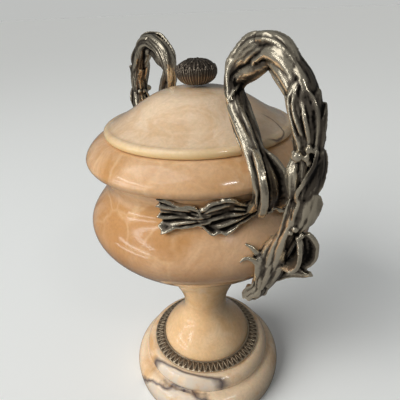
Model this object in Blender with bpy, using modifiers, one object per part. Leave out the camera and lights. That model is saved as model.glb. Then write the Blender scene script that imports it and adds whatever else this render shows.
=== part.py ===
"""Covered mantel urn of honey onyx with cast bronze branch handles, in metres, +Z up.

The origin is the centre of the foot's underside. The handles stand on the X axis. The foot, stem, bowl
and lid are separate stone turnings. The knob, the band on the foot and the two handles are bronze.
"""

import math

import bmesh
import bpy
from mathutils import Matrix, Vector

# Clearances
joint_gap = 0.0003  # between two pieces that touch
lid_play = 0.0015  # between the lid's spigot and the mouth, on the radius

# Foot
foot_radius = 0.0854
foot_height = 0.050
foot_base_radius = 0.0795
foot_shoulder_radius = 0.0718
foot_roll_height = 0.034

# Bronze band on the foot
band_width = 0.0115
band_inner_height = 0.0062
band_outer_height = 0.0026
band_leaves = 28

# Stem
stem_dome_radius = 0.0494
stem_dome_rim = 0.006
stem_waist_radius = 0.0236
stem_waist_height = 0.051
stem_height = 0.098
stem_top_radius = 0.0375

# Bowl
bowl_height = 0.1537
belly_radius = 0.1062
belly_height = 0.0745
neck_radius = 0.0872
neck_height = 0.1125
rim_radius = 0.1018
rim_nose_height = 0.1370
rim_underside_height = 0.1285
fillet_height = 0.0018
fillet_projection = 0.0045
mouth_radius = 0.0700
bowl_wall = 0.0120
bowl_floor = 0.0160

# Lid
lid_radius = 0.0836
lid_lip_height = 0.0078
lid_lip_width = 0.0056
lid_height = 0.0362
lid_crown_radius = 0.0195
lid_wall = 0.0130
lid_fullness = 0.12  # how far the dome bulges over a straight cone, by its own rise
lid_flare = 0.05  # how far the dome turns out again over the lip
spigot_depth = 0.0065
spigot_width = 0.0070

# Knob
knob_radius = 0.0189
knob_height = 0.0240
knob_scales = 14

# Handles
handle_reach = 0.1328  # from the axis to the middle of the outer branch
handle_rise = 0.0735  # from the bowl's rim to the middle of the arch
left_handle_set = 0.93  # the left casting stands lower over the rim, by this share
handle_lean = 0.0620  # from the axis to the middle of the inner branch, over the lid
branch_radius = 0.0088
leaf_thickness = 0.0030
berry_radius = 0.0024
spray_arc = math.radians(47)
spray_height = 0.0265
spray_thickness = 0.0055
casting_voxel = 0.0012
casting_faces = 1790

# Facets
turned_steps = 32

# Heights of the joints above the table
stem_base = foot_height + joint_gap
bowl_base = stem_base + stem_height + joint_gap
rim_top = bowl_base + bowl_height
lid_base = rim_top + joint_gap
knob_base = lid_base + lid_height + joint_gap
band_radius = stem_dome_radius + joint_gap
seat_radius = band_radius + band_width + joint_gap


def clear_scene():
    for old in list(bpy.data.objects):
        bpy.data.objects.remove(old)


def make_collection(name):
    made = bpy.data.collections.new(name)
    bpy.context.scene.collection.children.link(made)
    return made


def make_material(name, colour, roughness, metallic):
    made = bpy.data.materials.new(name)
    made.use_nodes = True
    shader = made.node_tree.nodes["Principled BSDF"]
    shader.inputs["Base Color"].default_value = (*colour, 1.0)
    shader.inputs["Roughness"].default_value = roughness
    shader.inputs["Metallic"].default_value = metallic
    return made


def ease(t):
    """0 to 1 with a flat start and a flat end."""
    return (1 - math.cos(math.pi * t)) / 2


def shares(count):
    """Evenly spaced values from just above 0 to 1."""
    return [(i + 1) / count for i in range(count)]


def quarter(centre, reach, count, power=2.0):
    """A quarter of a superellipse about centre, from its side at reach[0] to its end at reach[1]."""
    points = []
    for t in [0.0, *shares(count)]:
        angle = t * math.pi / 2
        x = max(math.cos(angle), 0.0) ** (2 / power)
        y = max(math.sin(angle), 0.0) ** (2 / power)
        points.append((centre[0] + reach[0] * x, centre[1] + reach[1] * y))
    return points


def smooth_path(points, per_span):
    """Points on a Catmull-Rom curve through the given vectors."""
    ends = [2 * points[0] - points[1], *points, 2 * points[-1] - points[-2]]
    path = []
    for i in range(1, len(ends) - 2):
        a, b, c, d = ends[i - 1 : i + 3]
        for step in range(per_span):
            t = step / per_span
            path.append(
                0.5
                * (
                    2 * b
                    + (c - a) * t
                    + (2 * a - 5 * b + 4 * c - d) * t**2
                    + (3 * b - 3 * c + d - a) * t**3
                )
            )
    path.append(points[-1].copy())
    return path


def turned(name, profile, material, collection):
    """A solid of revolution about Z from (radius, height) points that run down the outer side."""
    mesh = bpy.data.meshes.new(name)
    points = [(radius, 0.0, height) for radius, height in profile]
    edges = [(i, i + 1) for i in range(len(points) - 1)]
    mesh.from_pydata(points, edges, [])
    made = bpy.data.objects.new(name, mesh)
    collection.objects.link(made)
    made.data.materials.append(material)
    screw = made.modifiers.new("turning", "SCREW")
    screw.steps = screw.render_steps = turned_steps
    screw.use_merge_vertices = True
    screw.merge_threshold = 0.00001
    screw.use_smooth_shade = True
    return made


def loft(rings):
    """A closed bmesh through rings of points, its ends capped."""
    form = bmesh.new()
    rows = [[form.verts.new(point) for point in ring] for ring in rings]
    count = len(rings[0])
    for low, high in zip(rows, rows[1:]):
        for i in range(count):
            j = (i + 1) % count
            form.faces.new((low[i], low[j], high[j], high[i]))
    form.faces.new(list(reversed(rows[0])))
    form.faces.new(rows[-1])
    bmesh.ops.recalc_face_normals(form, faces=form.faces)
    return form


def bowl_outside():
    """The bowl's outer outline, from the lid's seat down to the joint with the stem."""
    nose = bowl_base + rim_nose_height
    under = bowl_base + rim_underside_height
    neck = bowl_base + neck_height
    belly = bowl_base + belly_height
    seat = lid_radius - 0.0006
    points = list(
        reversed(quarter((seat, nose), (rim_radius - seat, rim_top - nose), 5, 1.45))
    )
    fillet = neck_radius + fillet_projection
    points += quarter((fillet, nose), (rim_radius - fillet, under - nose), 3)[1:]
    points.append((fillet, under - fillet_height))
    cove = under - fillet_height - neck
    for t in shares(3):
        radius = fillet + (neck_radius - fillet) * ease(t) ** 0.8
        points.append((radius, under - fillet_height - cove * t))
    for t in shares(4):
        radius = neck_radius + (belly_radius - neck_radius) * ease(t)
        points.append((radius, neck + (belly - neck) * t))
    for t in shares(7):
        fall = max(math.cos(t * math.pi / 2), 0.0) ** 1.3
        radius = stem_top_radius + (belly_radius - stem_top_radius) * fall
        points.append((radius, belly + (bowl_base - belly) * t))
    return points


def bowl_inside():
    """The hollow's outline, from the middle of its floor up to the mouth."""
    floor = bowl_base + bowl_floor
    belly = bowl_base + belly_height
    neck = bowl_base + neck_height
    wide = belly_radius - bowl_wall
    narrow = min(neck_radius - bowl_wall, mouth_radius + 0.006)
    points = [(0.0, floor)]
    points += reversed(quarter((0.0, belly), (wide, floor - belly), 6, 1.75)[:-1])
    for t in shares(3):
        points.append((wide + (narrow - wide) * ease(t), belly + (neck - belly) * t))
    points.append((mouth_radius, neck + 0.4 * (rim_top - neck)))
    points.append((mouth_radius, rim_top))
    return points


def make_foot(material, collection):
    roll = foot_roll_height
    shoulder = list(
        reversed(
            quarter(
                (seat_radius, roll + 0.004),
                (foot_shoulder_radius - seat_radius, foot_height - roll - 0.004),
                3,
            )
        )
    )
    groove = (foot_shoulder_radius - 0.0012, roll)
    middle = 0.5 * roll
    crown = foot_shoulder_radius + 0.0012
    upper = list(
        reversed(quarter((crown, middle), (foot_radius - crown, roll - 0.001 - middle), 4))
    )
    lower = quarter(
        (foot_base_radius, middle), (foot_radius - foot_base_radius, -middle), 3, 2.3
    )[1:]
    profile = [(0.0, foot_height), *shoulder, groove, *upper, *lower, (0.0, 0.0)]
    return turned("foot", profile, material, collection)


def make_band(material, collection):
    """A cast band of upright leaf tips round the stem's dome: its outer edge is scalloped leaf by leaf."""
    steps = band_leaves * 2
    rings = []
    for i in range(steps):
        tip = i % 2 == 0
        angle = math.tau * i / steps
        outer = band_radius + band_width - (0.0 if tip else 0.0011)
        rise = 0.0009 if tip else -0.0005
        middle = 0.5 * (band_inner_height + band_outer_height) + 0.0006
        section = [
            (band_radius, foot_height + joint_gap),
            (outer, foot_height + joint_gap),
            (outer, foot_height + joint_gap + band_outer_height * (1.0 if tip else 0.7)),
            (band_radius + 0.55 * band_width, foot_height + joint_gap + middle + rise),
            (band_radius + 0.2 * band_width, foot_height + joint_gap + band_inner_height),
            (band_radius, foot_height + joint_gap + band_inner_height),
        ]
        rings.append(
            [Vector((r * math.cos(angle), r * math.sin(angle), z)) for r, z in section]
        )
    form = bmesh.new()
    rows = [[form.verts.new(point) for point in ring] for ring in rings]
    count = len(rows[0])
    for i, row in enumerate(rows):
        following = rows[(i + 1) % steps]
        for j in range(count):
            k = (j + 1) % count
            form.faces.new((row[j], following[j], following[k], row[k]))
    bmesh.ops.recalc_face_normals(form, faces=form.faces)
    return add_mesh("foot_band", form, material, collection)


def add_mesh(name, form, material, collection):
    mesh = bpy.data.meshes.new(name)
    form.to_mesh(mesh)
    form.free()
    made = bpy.data.objects.new(name, mesh)
    collection.objects.link(made)
    if material:
        mesh.materials.append(material)
    mesh.shade_smooth()
    mesh.set_sharp_from_angle(angle=math.radians(38))
    return made


def make_stem(material, collection):
    waist = stem_base + stem_waist_height
    top = stem_base + stem_height
    shoulder = stem_base + stem_dome_rim
    profile = [(0.0, top), (stem_top_radius, top)]
    for t in shares(5):
        radius = stem_top_radius + (stem_waist_radius - stem_top_radius) * ease(t**0.85)
        profile.append((radius, top + (waist - top) * t))
    for t in shares(6):
        radius = stem_waist_radius + (stem_dome_radius - stem_waist_radius) * ease(t**1.2)
        profile.append((radius, waist + (shoulder - waist) * t))
    profile += [(stem_dome_radius, stem_base), (0.0, stem_base)]
    return turned("stem", profile, material, collection)


def make_bowl(material, collection):
    profile = [*bowl_inside(), *bowl_outside(), (0.0, bowl_base)]
    return turned("bowl", profile, material, collection)


def make_lid(material, collection):
    top = lid_base + lid_height
    lip_middle = lid_base + 0.5 * lid_lip_height
    lip_top = lid_base + lid_lip_height
    shoulder = lid_radius - lid_lip_width
    profile = [(0.0, top), (0.6 * lid_crown_radius, top)]
    for t in reversed([0.0, *shares(6)]):
        rise = t + lid_fullness * math.sin(math.pi * t) - lid_flare * math.sin(math.tau * t)
        radius = shoulder + (lid_crown_radius - shoulder) * t
        profile.append((radius, lip_top + (top - 0.0012 - lip_top) * rise))
    lip = quarter((shoulder, lip_middle), (lid_lip_width, lip_top - lip_middle), 3)
    profile += list(reversed(lip))[1:]
    seat = lid_radius - 0.0028
    profile += quarter((seat, lip_middle), (lid_radius - seat, lid_base - lip_middle), 2)[1:]
    spigot = mouth_radius - lid_play
    foot = lid_base - spigot_depth
    hollow = spigot - spigot_width
    profile += [(spigot, lid_base), (spigot, foot)]
    profile += quarter((0.0, foot), (hollow, top - lid_wall - foot), 4)
    return turned("lid", profile, material, collection)


def make_knob(material, collection):
    """An artichoke: tall scales stand round the side, and shorter rows close over the crown."""
    steps = knob_scales * 2
    rises = (-0.92, -0.62, -0.25, 0.15, 0.42, 0.62, 0.80, 0.93)
    side_rows = 4
    rings = []
    for row, rise in enumerate(rises):
        swell = math.sqrt(1 - rise * rise) ** 0.72
        height = knob_base + 0.5 * knob_height * (1 + rise / rises[-1])
        shift = max(0, row - side_rows + 1) % 2
        ring = []
        for i in range(steps):
            turn = math.tau * i / steps
            ridge = 1.0 if (i + shift) % 2 == 0 else 0.93
            radius = knob_radius * swell * ridge
            ring.append(Vector((radius * math.cos(turn), radius * math.sin(turn), height)))
        rings.append(ring)
    return add_mesh("knob", loft(rings), material, collection)


def handle_path():
    """The middle line of the handle at +X: from its foot in the neck, over the arch, down to the roots.

    Each point is (distance from the axis, offset to the side, height).
    """
    neck = bowl_base + neck_height
    nose = bowl_base + rim_nose_height
    belly = bowl_base + belly_height
    arch = rim_top + handle_rise
    lean = handle_lean
    reach = handle_reach
    points = [
        (neck_radius + 0.0093, -0.001, neck + 0.0055),
        (rim_radius + 0.0006, -0.0065, neck + 0.0145),
        (rim_radius + 0.0066, -0.0125, nose + 0.003),
        (rim_radius + 0.0012, -0.0140, rim_top - 0.0005),
        (lean + 0.0325, -0.0135, rim_top + 0.0095),
        (lean + 0.0215, -0.0120, arch - 0.0520),
        (lean + 0.0094, -0.0090, arch - 0.0418),
        (lean + 0.0015, -0.0070, arch - 0.0313),
        (lean, -0.0050, arch - 0.0193),
        (lean + 0.0050, -0.0030, arch - 0.0098),
        (lean + 0.0155, -0.0020, arch - 0.0038),
        (0.5 * (lean + reach) - 0.0074, -0.0010, arch),
        (reach - 0.0298, 0.0, arch - 0.0033),
        (reach - 0.0213, 0.0, arch - 0.0108),
        (reach - 0.0130, 0.0, arch - 0.0208),
        (reach - 0.0060, 0.0, arch - 0.0323),
        (reach - 0.0016, 0.0, arch - 0.0443),
        (reach, 0.0, arch - 0.0578),
        (reach - 0.0008, 0.0, rim_top + 0.0017),
        (reach - 0.0016, 0.0, nose + 0.003),
        (reach - 0.0028, 0.0, neck + 0.012),
        (reach - 0.0068, 0.0, neck - 0.004),
        (belly_radius + 0.0135, -0.0010, belly + 0.0170),
        (belly_radius + 0.0050, -0.0020, belly - 0.0005),
        (belly_radius - 0.0005, -0.0045, belly - 0.0155),
        (belly_radius - 0.0045, -0.0075, belly - 0.0295),
        (belly_radius - 0.0110, -0.0100, belly - 0.0400),
        (belly_radius - 0.0160, -0.0120, belly - 0.0470),
    ]
    return smooth_path([Vector(point) for point in points], 6)


def even_path(path, gap):
    """The same line with its points a fixed distance apart."""
    even = [path[0].copy()]
    left = gap
    for a, b in zip(path, path[1:]):
        length = (b - a).length
        travelled = 0.0
        while length - travelled >= left:
            travelled += left
            even.append(a.lerp(b, travelled / length))
            left = gap
        left -= length - travelled
    return even


class Trunk:
    """The handle's middle line as frames, read by the distance from its foot in the neck.

    Around the line, an angle of 0 points out of the loop, and 90 degrees points to the side at -Y.
    """

    def __init__(self, path, gap):
        self.gap = gap
        self.frames = []
        points = even_path(path, gap)
        for i, point in enumerate(points):
            ahead = points[min(i + 1, len(points) - 1)]
            behind = points[max(i - 1, 0)]
            tangent = (ahead - behind).normalized()
            outward = Vector((0.0, -1.0, 0.0)).cross(tangent).normalized()
            side = tangent.cross(outward).normalized()
            self.frames.append((point, tangent, outward, side))
        self.length = gap * (len(points) - 1)

    def frame(self, distance):
        """Frame between its two neighbours; past the end it runs on straight."""
        place = min(max(distance, 0.0), self.length) / self.gap
        k = min(int(place), len(self.frames) - 2)
        mixed = [a.lerp(b, place - k) for a, b in zip(self.frames[k], self.frames[k + 1])]
        mixed[0] = mixed[0] + mixed[1] * (distance - self.gap * place)
        return mixed

    def away(self, distance, angle):
        _, _, outward, side = self.frame(distance)
        turn = math.radians(angle)
        return (outward * math.cos(turn) + side * math.sin(turn)).normalized()

    def beside(self, distance, angle, offset):
        return self.frame(distance)[0] + self.away(distance, angle) * offset


def mix(values, t):
    """A value read along a list at t from 0 to 1."""
    place = t * (len(values) - 1)
    k = min(int(place), len(values) - 2)
    return values[k] + (values[k + 1] - values[k]) * (place - k)


def core(trunk, first, last, radii, twist):
    """A knotty stem along the middle line: its three-lobed section turns as it goes."""
    facets = 15
    count = round((last - first) / 0.004)
    rings = []
    for i in range(count + 1):
        t = i / count
        distance = first + (last - first) * t
        ring = []
        for j in range(facets):
            angle = 360.0 * j / facets
            swell = 1 + 0.10 * math.cos(math.radians(3 * (angle - 360 * twist * t)))
            ring.append(trunk.beside(distance, angle, mix(radii, t) * swell))
        rings.append(ring)
    return loft(rings)


def strand(trunk, route, offsets, radii):
    """A round strand laid along the handle through (distance, angle) places."""
    steps = max(4, round(abs(route[-1][0] - route[0][0]) / 0.005))
    distances = [place[0] for place in route]
    angles = [place[1] for place in route]
    points = []
    for i in range(steps + 1):
        t = i / steps
        points.append(trunk.beside(mix(distances, t), mix(angles, t), mix(offsets, t)))
    return vine(points, radii)


def leaf(trunk, root, tip, offsets, width, thickness, wrap=1.0, face=None, fullness=0.5):
    """A leaf laid along the handle from root to tip, each a (distance, angle) place.

    Wrap 1 bends it round the handle, and a negative wrap cups it away. Face turns its blade.
    """
    steps = 10
    rows = []
    for i in range(steps + 1):
        t = i / steps
        distance = root[0] + (tip[0] - root[0]) * t
        angle = root[1] + (tip[1] - root[1]) * t
        offset = mix(offsets, t)
        normal = trunk.away(distance, angle if face is None else face)
        rows.append((trunk.beside(distance, angle, offset), normal, offset))
    rings = []
    for i, (point, normal, offset) in enumerate(rows):
        t = i / steps
        tangent = (rows[min(i + 1, steps)][0] - rows[max(i - 1, 0)][0]).normalized()
        across = tangent.cross(normal).normalized()
        up = across.cross(tangent).normalized()
        rise = t / fullness if t < fullness else (1 - t) / (1 - fullness)
        half = 0.5 * width * max(math.sin(rise * math.pi / 2), 0.16)
        ring = []
        for angle in [math.tau * k / 10 for k in range(10)]:
            u = half * math.cos(angle)
            bend = -wrap * u * u / (2 * max(offset, 0.006))
            ring.append(point + across * u + up * (bend + 0.5 * thickness * math.sin(angle)))
        rings.append(ring)
    return loft(rings)


def vine(points, radii):
    """A round twig along a few points."""
    path = smooth_path([Vector(point) for point in points], 3)
    rings = []
    for i, point in enumerate(path):
        ahead = path[min(i + 1, len(path) - 1)]
        behind = path[max(i - 1, 0)]
        tangent = (ahead - behind).normalized()
        across = tangent.orthogonal().normalized()
        other = tangent.cross(across)
        radius = mix(radii, i / (len(path) - 1))
        ring = [
            point + (across * math.cos(a) + other * math.sin(a)) * radius
            for a in [math.tau * k / 8 for k in range(8)]
        ]
        rings.append(ring)
    return loft(rings)


def berry(place, radius):
    form = bmesh.new()
    bmesh.ops.create_icosphere(form, subdivisions=2, radius=radius, matrix=Matrix.Translation(place))
    return form


def on_bowl(turn, height, stand_off):
    """A point off the bowl's surface at an angle from +X, towards -Y when negative."""
    outline = bowl_outside()
    radius = neck_radius
    for (r_high, z_high), (r_low, z_low) in zip(outline, outline[1:]):
        if z_low <= height <= z_high and z_high > z_low:
            radius = r_low + (r_high - r_low) * (height - z_low) / (z_high - z_low)
    radius += stand_off
    return Vector((radius * math.cos(turn), radius * math.sin(turn), height))


def spray_leaf(way, first, last, narrow, wide):
    """One leaf of the spray in the neck: narrow where it starts, fanned and scalloped where it ends."""
    neck = bowl_base + neck_height
    radius = neck_radius + 0.35 * spray_thickness + 0.0045
    steps = 10
    rings = []
    for i in range(steps + 1):
        t = i / steps
        turn = way * (first + (last - first) * t)
        outward = Vector((math.cos(turn), math.sin(turn), 0.0))
        half = 0.5 * (narrow + (wide - narrow) * t**0.8)
        scallop = 1 + 0.10 * math.cos(3.2 * math.tau * t)
        ring = []
        for angle in [math.tau * k / 10 for k in range(10)]:
            up = math.cos(angle) * half * (scallop if math.cos(angle) < 0 else 1.0)
            ridge = 0.0012 * math.cos(4.5 * math.pi * math.cos(angle))
            swell = (0.5 * spray_thickness + ridge) * math.sin(angle)
            bulge = 0.0022 * (abs(up) / (0.5 * spray_height)) ** 2
            ring.append(outward * (radius + swell + bulge) + Vector((0, 0, neck + 0.0015 + up)))
        rings.append(ring)
    return loft(rings)


def arch_forms(trunk):
    """The inner branch and the arch: a knotty core, smooth strands, and the leaves laid over them."""
    r = branch_radius
    t = leaf_thickness
    return [
        core(trunk, 0.0, 0.112, (0.64 * r, 0.56 * r, 0.58 * r, 0.64 * r), 0.5),
        core(trunk, 0.100, 0.232, (0.62 * r, 0.64 * r, 0.64 * r, 0.66 * r), 0.9),
        # Two strands that wind up the inner branch
        strand(trunk, [(0.012, 110), (0.045, 95), (0.090, 100)], (0.40 * r, 0.45 * r, 0.3 * r),
               (0.42 * r, 0.36 * r, 0.40 * r)),
        strand(trunk, [(0.006, -120), (0.050, 190), (0.100, 160)], (0.5 * r, 0.40 * r, 0.45 * r),
               (0.46 * r, 0.38 * r, 0.42 * r)),
        # Smooth strands that run from the crown down the front of the arch
        strand(trunk, [(0.140, 190), (0.166, 130), (0.190, 95), (0.212, 80)],
               (0.55 * r, 0.72 * r, 0.66 * r, 0.5 * r), (0.44 * r, 0.50 * r, 0.44 * r, 0.26 * r)),
        strand(trunk, [(0.146, 215), (0.176, 165), (0.196, 135), (0.222, 118)],
               (0.45 * r, 0.70 * r, 0.70 * r, 0.5 * r), (0.36 * r, 0.42 * r, 0.38 * r, 0.24 * r)),
        # Bark-like leaf draped over the inner shoulder, its long tip free beside the inner branch
        leaf(trunk, (0.154, 80), (0.090, 92), (0.8 * r, 0.98 * r, 1.0 * r, 1.02 * r), 0.0200, t, 0.9),
        leaf(trunk, (0.146, 20), (0.100, 35), (0.75 * r, 0.85 * r, 0.90 * r), 0.0140, t, 1.0),
        # Cap leaf over the crown
        leaf(trunk, (0.142, 15), (0.192, 20), (0.86 * r, 1.02 * r, 0.98 * r), 0.0125, 1.1 * t, 0.8,
             None, 0.35),
        # Dark leaf on the outer shoulder
        leaf(trunk, (0.178, -10), (0.216, 0), (0.7 * r, 1.0 * r, 0.85 * r), 0.0160, t, 0.8),
    ]


def outer_forms(trunk):
    """The outer branch: leaves with free tips above the berries, broad leaves and ribbons below."""
    r = branch_radius
    t = leaf_thickness
    forms = [
        core(trunk, 0.222, 0.300, (0.66 * r, 0.60 * r, 0.52 * r, 0.50 * r), 0.4),
        # Leaves that point up the branch, the last two with tips that stand clear
        leaf(trunk, (0.232, 95), (0.192, 68), (0.8 * r, 1.04 * r, 0.90 * r), 0.0110, t, 0.6),
        leaf(trunk, (0.232, 52), (0.196, 44), (0.8 * r, 1.06 * r, 0.90 * r), 0.0100, t, 0.6),
        leaf(trunk, (0.232, 138), (0.194, 140), (0.8 * r, 1.10 * r, 1.0 * r), 0.0105, t, 0.6),
        leaf(trunk, (0.232, 185), (0.198, 190), (0.8 * r, 1.0 * r, 0.9 * r), 0.0105, t, 0.6),
        leaf(trunk, (0.230, -95), (0.196, -85), (0.8 * r, 1.0 * r, 0.95 * r), 0.0105, t, 0.6),
        leaf(trunk, (0.228, 8), (0.199, -16), (0.8 * r, 1.05 * r, 1.15 * r), 0.0095, 1.1 * t, 0.5),
        leaf(trunk, (0.236, -22), (0.205, -42), (0.8 * r, 1.12 * r, 1.55 * r), 0.0095, 1.1 * t, 0.5),
        # Ribbon that narrows, turns and widens again down the side
        leaf(trunk, (0.270, 128), (0.236, 128), (0.62 * r, 1.05 * r, 1.0 * r, 0.85 * r), 0.0125, t, 0.2,
             105, 0.45),
        leaf(trunk, (0.306, 95), (0.264, 128), (0.8 * r, 0.90 * r, 0.62 * r), 0.0110, 1.1 * t, 0.2, 110),
        # Broad leaf that crosses the front, and one behind it
        leaf(trunk, (0.266, 52), (0.231, -34), (0.6 * r, 1.02 * r, 1.12 * r, 1.0 * r), 0.0180, 1.1 * t, 0.5,
             None, 0.6),
        leaf(trunk, (0.264, -70), (0.230, -90), (0.6 * r, 1.0 * r, 0.9 * r), 0.0150, t, 0.6),
        # Spoon leaf that stands off the outer side
        leaf(trunk, (0.294, 10), (0.263, -32), (0.45 * r, 0.95 * r, 1.15 * r, 1.05 * r), 0.0210, 1.35 * t,
             -0.25, 22, 0.55),
        # Cupped leaf above the roots, with one behind it
        leaf(trunk, (0.299, -8), (0.333, -22), (0.5 * r, 1.3 * r, 1.5 * r, 0.9 * r), 0.0165, 1.2 * t,
             -0.9, None, 0.5),
        leaf(trunk, (0.296, -75), (0.330, -95), (0.5 * r, 1.2 * r, 1.2 * r), 0.0150, t, 0.3),
        # Pointed leaf that leaves the roots outwards
        leaf(trunk, (0.352, -8), (0.326, -18), (0.4 * r, 1.3 * r, 2.9 * r), 0.0100, 1.1 * t, 0.0, 70, 0.35),
    ]
    for distance, angle, size in (
        (0.2360, 100, 1.05), (0.2310, 66, 1.15), (0.2345, 24, 0.95), (0.2390, 62, 0.85), (0.2370, -10, 0.8),
        (0.2900, 62, 0.80), (0.2915, 40, 0.75), (0.2960, 52, 0.80), (0.2965, 24, 0.75),
    ):
        forms.append(berry(trunk.beside(distance, angle, 0.92 * r), berry_radius * size))
    return forms


def root_forms(trunk):
    """The handle's lower end: strands that bunch into roots, twigs that touch the belly, and a tail."""
    r = branch_radius
    t = leaf_thickness
    belly = bowl_base + belly_height
    forms = [core(trunk, 0.286, 0.386, (0.55 * r, 0.62 * r, 0.62 * r, 0.50 * r, 0.40 * r), 0.2)]
    for angle, first, last in ((150, 0.292, 0.352), (118, 0.288, 0.362), (84, 0.300, 0.366),
                               (48, 0.304, 0.362), (8, 0.316, 0.372), (-60, 0.300, 0.366),
                               (-110, 0.292, 0.360)):
        forms.append(
            strand(trunk, [(first, angle), (0.5 * (first + last), angle + 6), (last, angle - 8)],
                   (0.45 * r, 0.72 * r, 0.55 * r), (0.20 * r, 0.30 * r, 0.22 * r))
        )
    for turn, height, distance, thick in (
        (-11.8, 0.016, 0.326, 0.0022), (-14.2, 0.001, 0.342, 0.0026), (8.5, 0.012, 0.328, 0.0024),
        (10.5, -0.006, 0.342, 0.0022),
    ):
        tip = on_bowl(math.radians(turn), belly + height, 0.0010)
        start = trunk.beside(distance, 110 if turn < 0 else -110, 0.3 * r)
        bend = 0.5 * (start + tip) + Vector((0.006, 0, 0.004))
        forms.append(vine([start, bend, tip], (1.35 * thick, 1.1 * thick, 0.75 * thick)))
    forms += [
        # Torn leaf ends of the tail, spread to both sides
        leaf(trunk, (0.352, 80), (0.395, 105), (0.45 * r, 0.75 * r, 0.95 * r), 0.0115, 1.2 * t, 0.4),
        leaf(trunk, (0.350, -60), (0.390, -85), (0.45 * r, 0.75 * r, 0.95 * r), 0.0115, 1.2 * t, 0.4),
        leaf(trunk, (0.350, 10), (0.383, 20), (0.45 * r, 0.75 * r, 0.70 * r), 0.0105, 1.2 * t, 0.4),
    ]
    return forms


def spray_forms(trunk):
    """The inner branch's foot: a folded hoof in the neck that forks into a leaf spray each way."""
    r = branch_radius
    neck = bowl_base + neck_height
    foot = trunk.frame(0.0)[0]
    forms = [
        leaf(trunk, (0.030, -150), (-0.007, -150), (0.5 * r, 0.62 * r, 0.45 * r), 0.0150,
             2.2 * leaf_thickness, 0.5, None, 0.62),
        vine([trunk.frame(0.012)[0], foot, on_bowl(0.0, neck + 0.001, 0.004)],
             (0.75 * r, 0.85 * r, 0.6 * r)),
    ]
    for way in (-1, 1):
        fork = on_bowl(way * math.radians(7.5), neck + 0.003, 0.006)
        high = trunk.beside(0.026, 100 if way < 0 else -100, 0.35 * r)
        bend = 0.5 * (high + fork) + Vector((0.002, 0.0, 0.0))
        forms.append(vine([high, bend, fork], (0.36 * r, 0.42 * r, 0.44 * r)))
        overlap = math.radians(3)
        forms.append(spray_leaf(way, math.radians(3.5), 0.62 * spray_arc + overlap, 0.008, spray_height))
        forms.append(spray_leaf(way, 0.55 * spray_arc, spray_arc + overlap, 0.010, 0.98 * spray_height))
    return forms


def handle_forms():
    """Every shape that is cast together in one handle, as closed bmeshes that overlap."""
    trunk = Trunk(handle_path(), 0.002)
    return arch_forms(trunk) + outer_forms(trunk) + root_forms(trunk) + spray_forms(trunk)


def largest_island(mesh):
    """Leaves only the biggest connected piece of a mesh, which drops sealed pockets."""
    form = bmesh.new()
    form.from_mesh(mesh)
    left = set(form.verts)
    islands = []
    while left:
        front = [left.pop()]
        island = set(front)
        while front:
            vertex = front.pop()
            for edge in vertex.link_edges:
                other = edge.other_vert(vertex)
                if other in left:
                    left.remove(other)
                    island.add(other)
                    front.append(other)
        islands.append(island)
    keep = max(islands, key=len)
    spare = [vertex for vertex in form.verts if vertex not in keep]
    bmesh.ops.delete(form, geom=spare, context="VERTS")
    form.to_mesh(mesh)
    form.free()


def make_casting(collection):
    """The handle's shapes fused into one skin of small squares."""
    mesh = bpy.data.meshes.new("casting")
    whole = bmesh.new()
    for form in handle_forms():
        piece = bpy.data.meshes.new("form")
        form.to_mesh(piece)
        form.free()
        whole.from_mesh(piece)
        bpy.data.meshes.remove(piece)
    whole.to_mesh(mesh)
    whole.free()
    made = bpy.data.objects.new("casting", mesh)
    collection.objects.link(made)
    fuse = made.modifiers.new("fuse", "REMESH")
    fuse.mode = "VOXEL"
    fuse.voxel_size = casting_voxel
    bpy.context.view_layer.update()
    evaluated = made.evaluated_get(bpy.context.evaluated_depsgraph_get())
    fused = bpy.data.meshes.new_from_object(evaluated)
    bpy.data.objects.remove(made)
    largest_island(fused)
    return fused


def make_handles(material, collection, helpers):
    """Two castings from one pattern, the second turned half round, each fitted to the stone."""
    wall = [(0.0, rim_top), *[(r + joint_gap, z) for r, z in bowl_outside()], (0.0, bowl_base)]
    stone = turned("stone_clearance", wall, material, helpers)
    stone.hide_render = True
    stone.display_type = "WIRE"
    fused = make_casting(helpers)
    for name, turn, height_share in (
        ("handle_right", 0.0, 1.0),
        ("handle_left", math.pi, left_handle_set),
    ):
        mesh = fused.copy()
        for vertex in mesh.vertices:
            vertex.co.z -= (1 - height_share) * max(vertex.co.z - rim_top, 0.0)
        mesh.transform(Matrix.Rotation(turn, 4, "Z"))
        mesh.materials.clear()
        mesh.materials.append(material)
        mesh.shade_smooth()
        handle = bpy.data.objects.new(name, mesh)
        collection.objects.link(handle)
        thin = handle.modifiers.new("facets", "DECIMATE")
        thin.ratio = casting_faces / (2 * len(mesh.polygons))
        fit = handle.modifiers.new("fit", "BOOLEAN")
        fit.operation = "DIFFERENCE"
        fit.object = stone


def main():
    clear_scene()
    urn = make_collection("mantel_urn")
    helpers = make_collection("cutters")
    onyx = make_material("honey_onyx", (0.79, 0.55, 0.33), 0.12, 0.0)
    pale_onyx = make_material("pale_onyx", (0.86, 0.71, 0.52), 0.14, 0.0)
    bronze = make_material("aged_bronze", (0.28, 0.23, 0.17), 0.38, 1.0)
    make_foot(pale_onyx, urn)
    make_band(bronze, urn)
    make_stem(pale_onyx, urn)
    make_bowl(onyx, urn)
    make_lid(pale_onyx, urn)
    make_knob(bronze, urn)
    make_handles(bronze, urn, helpers)


main()
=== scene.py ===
"""Mantel urn: honey onyx turnings with bronze branch handles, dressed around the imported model."""

import math

import bmesh
import bpy
import numpy as np
from mathutils import Matrix, Vector, noise


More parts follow.
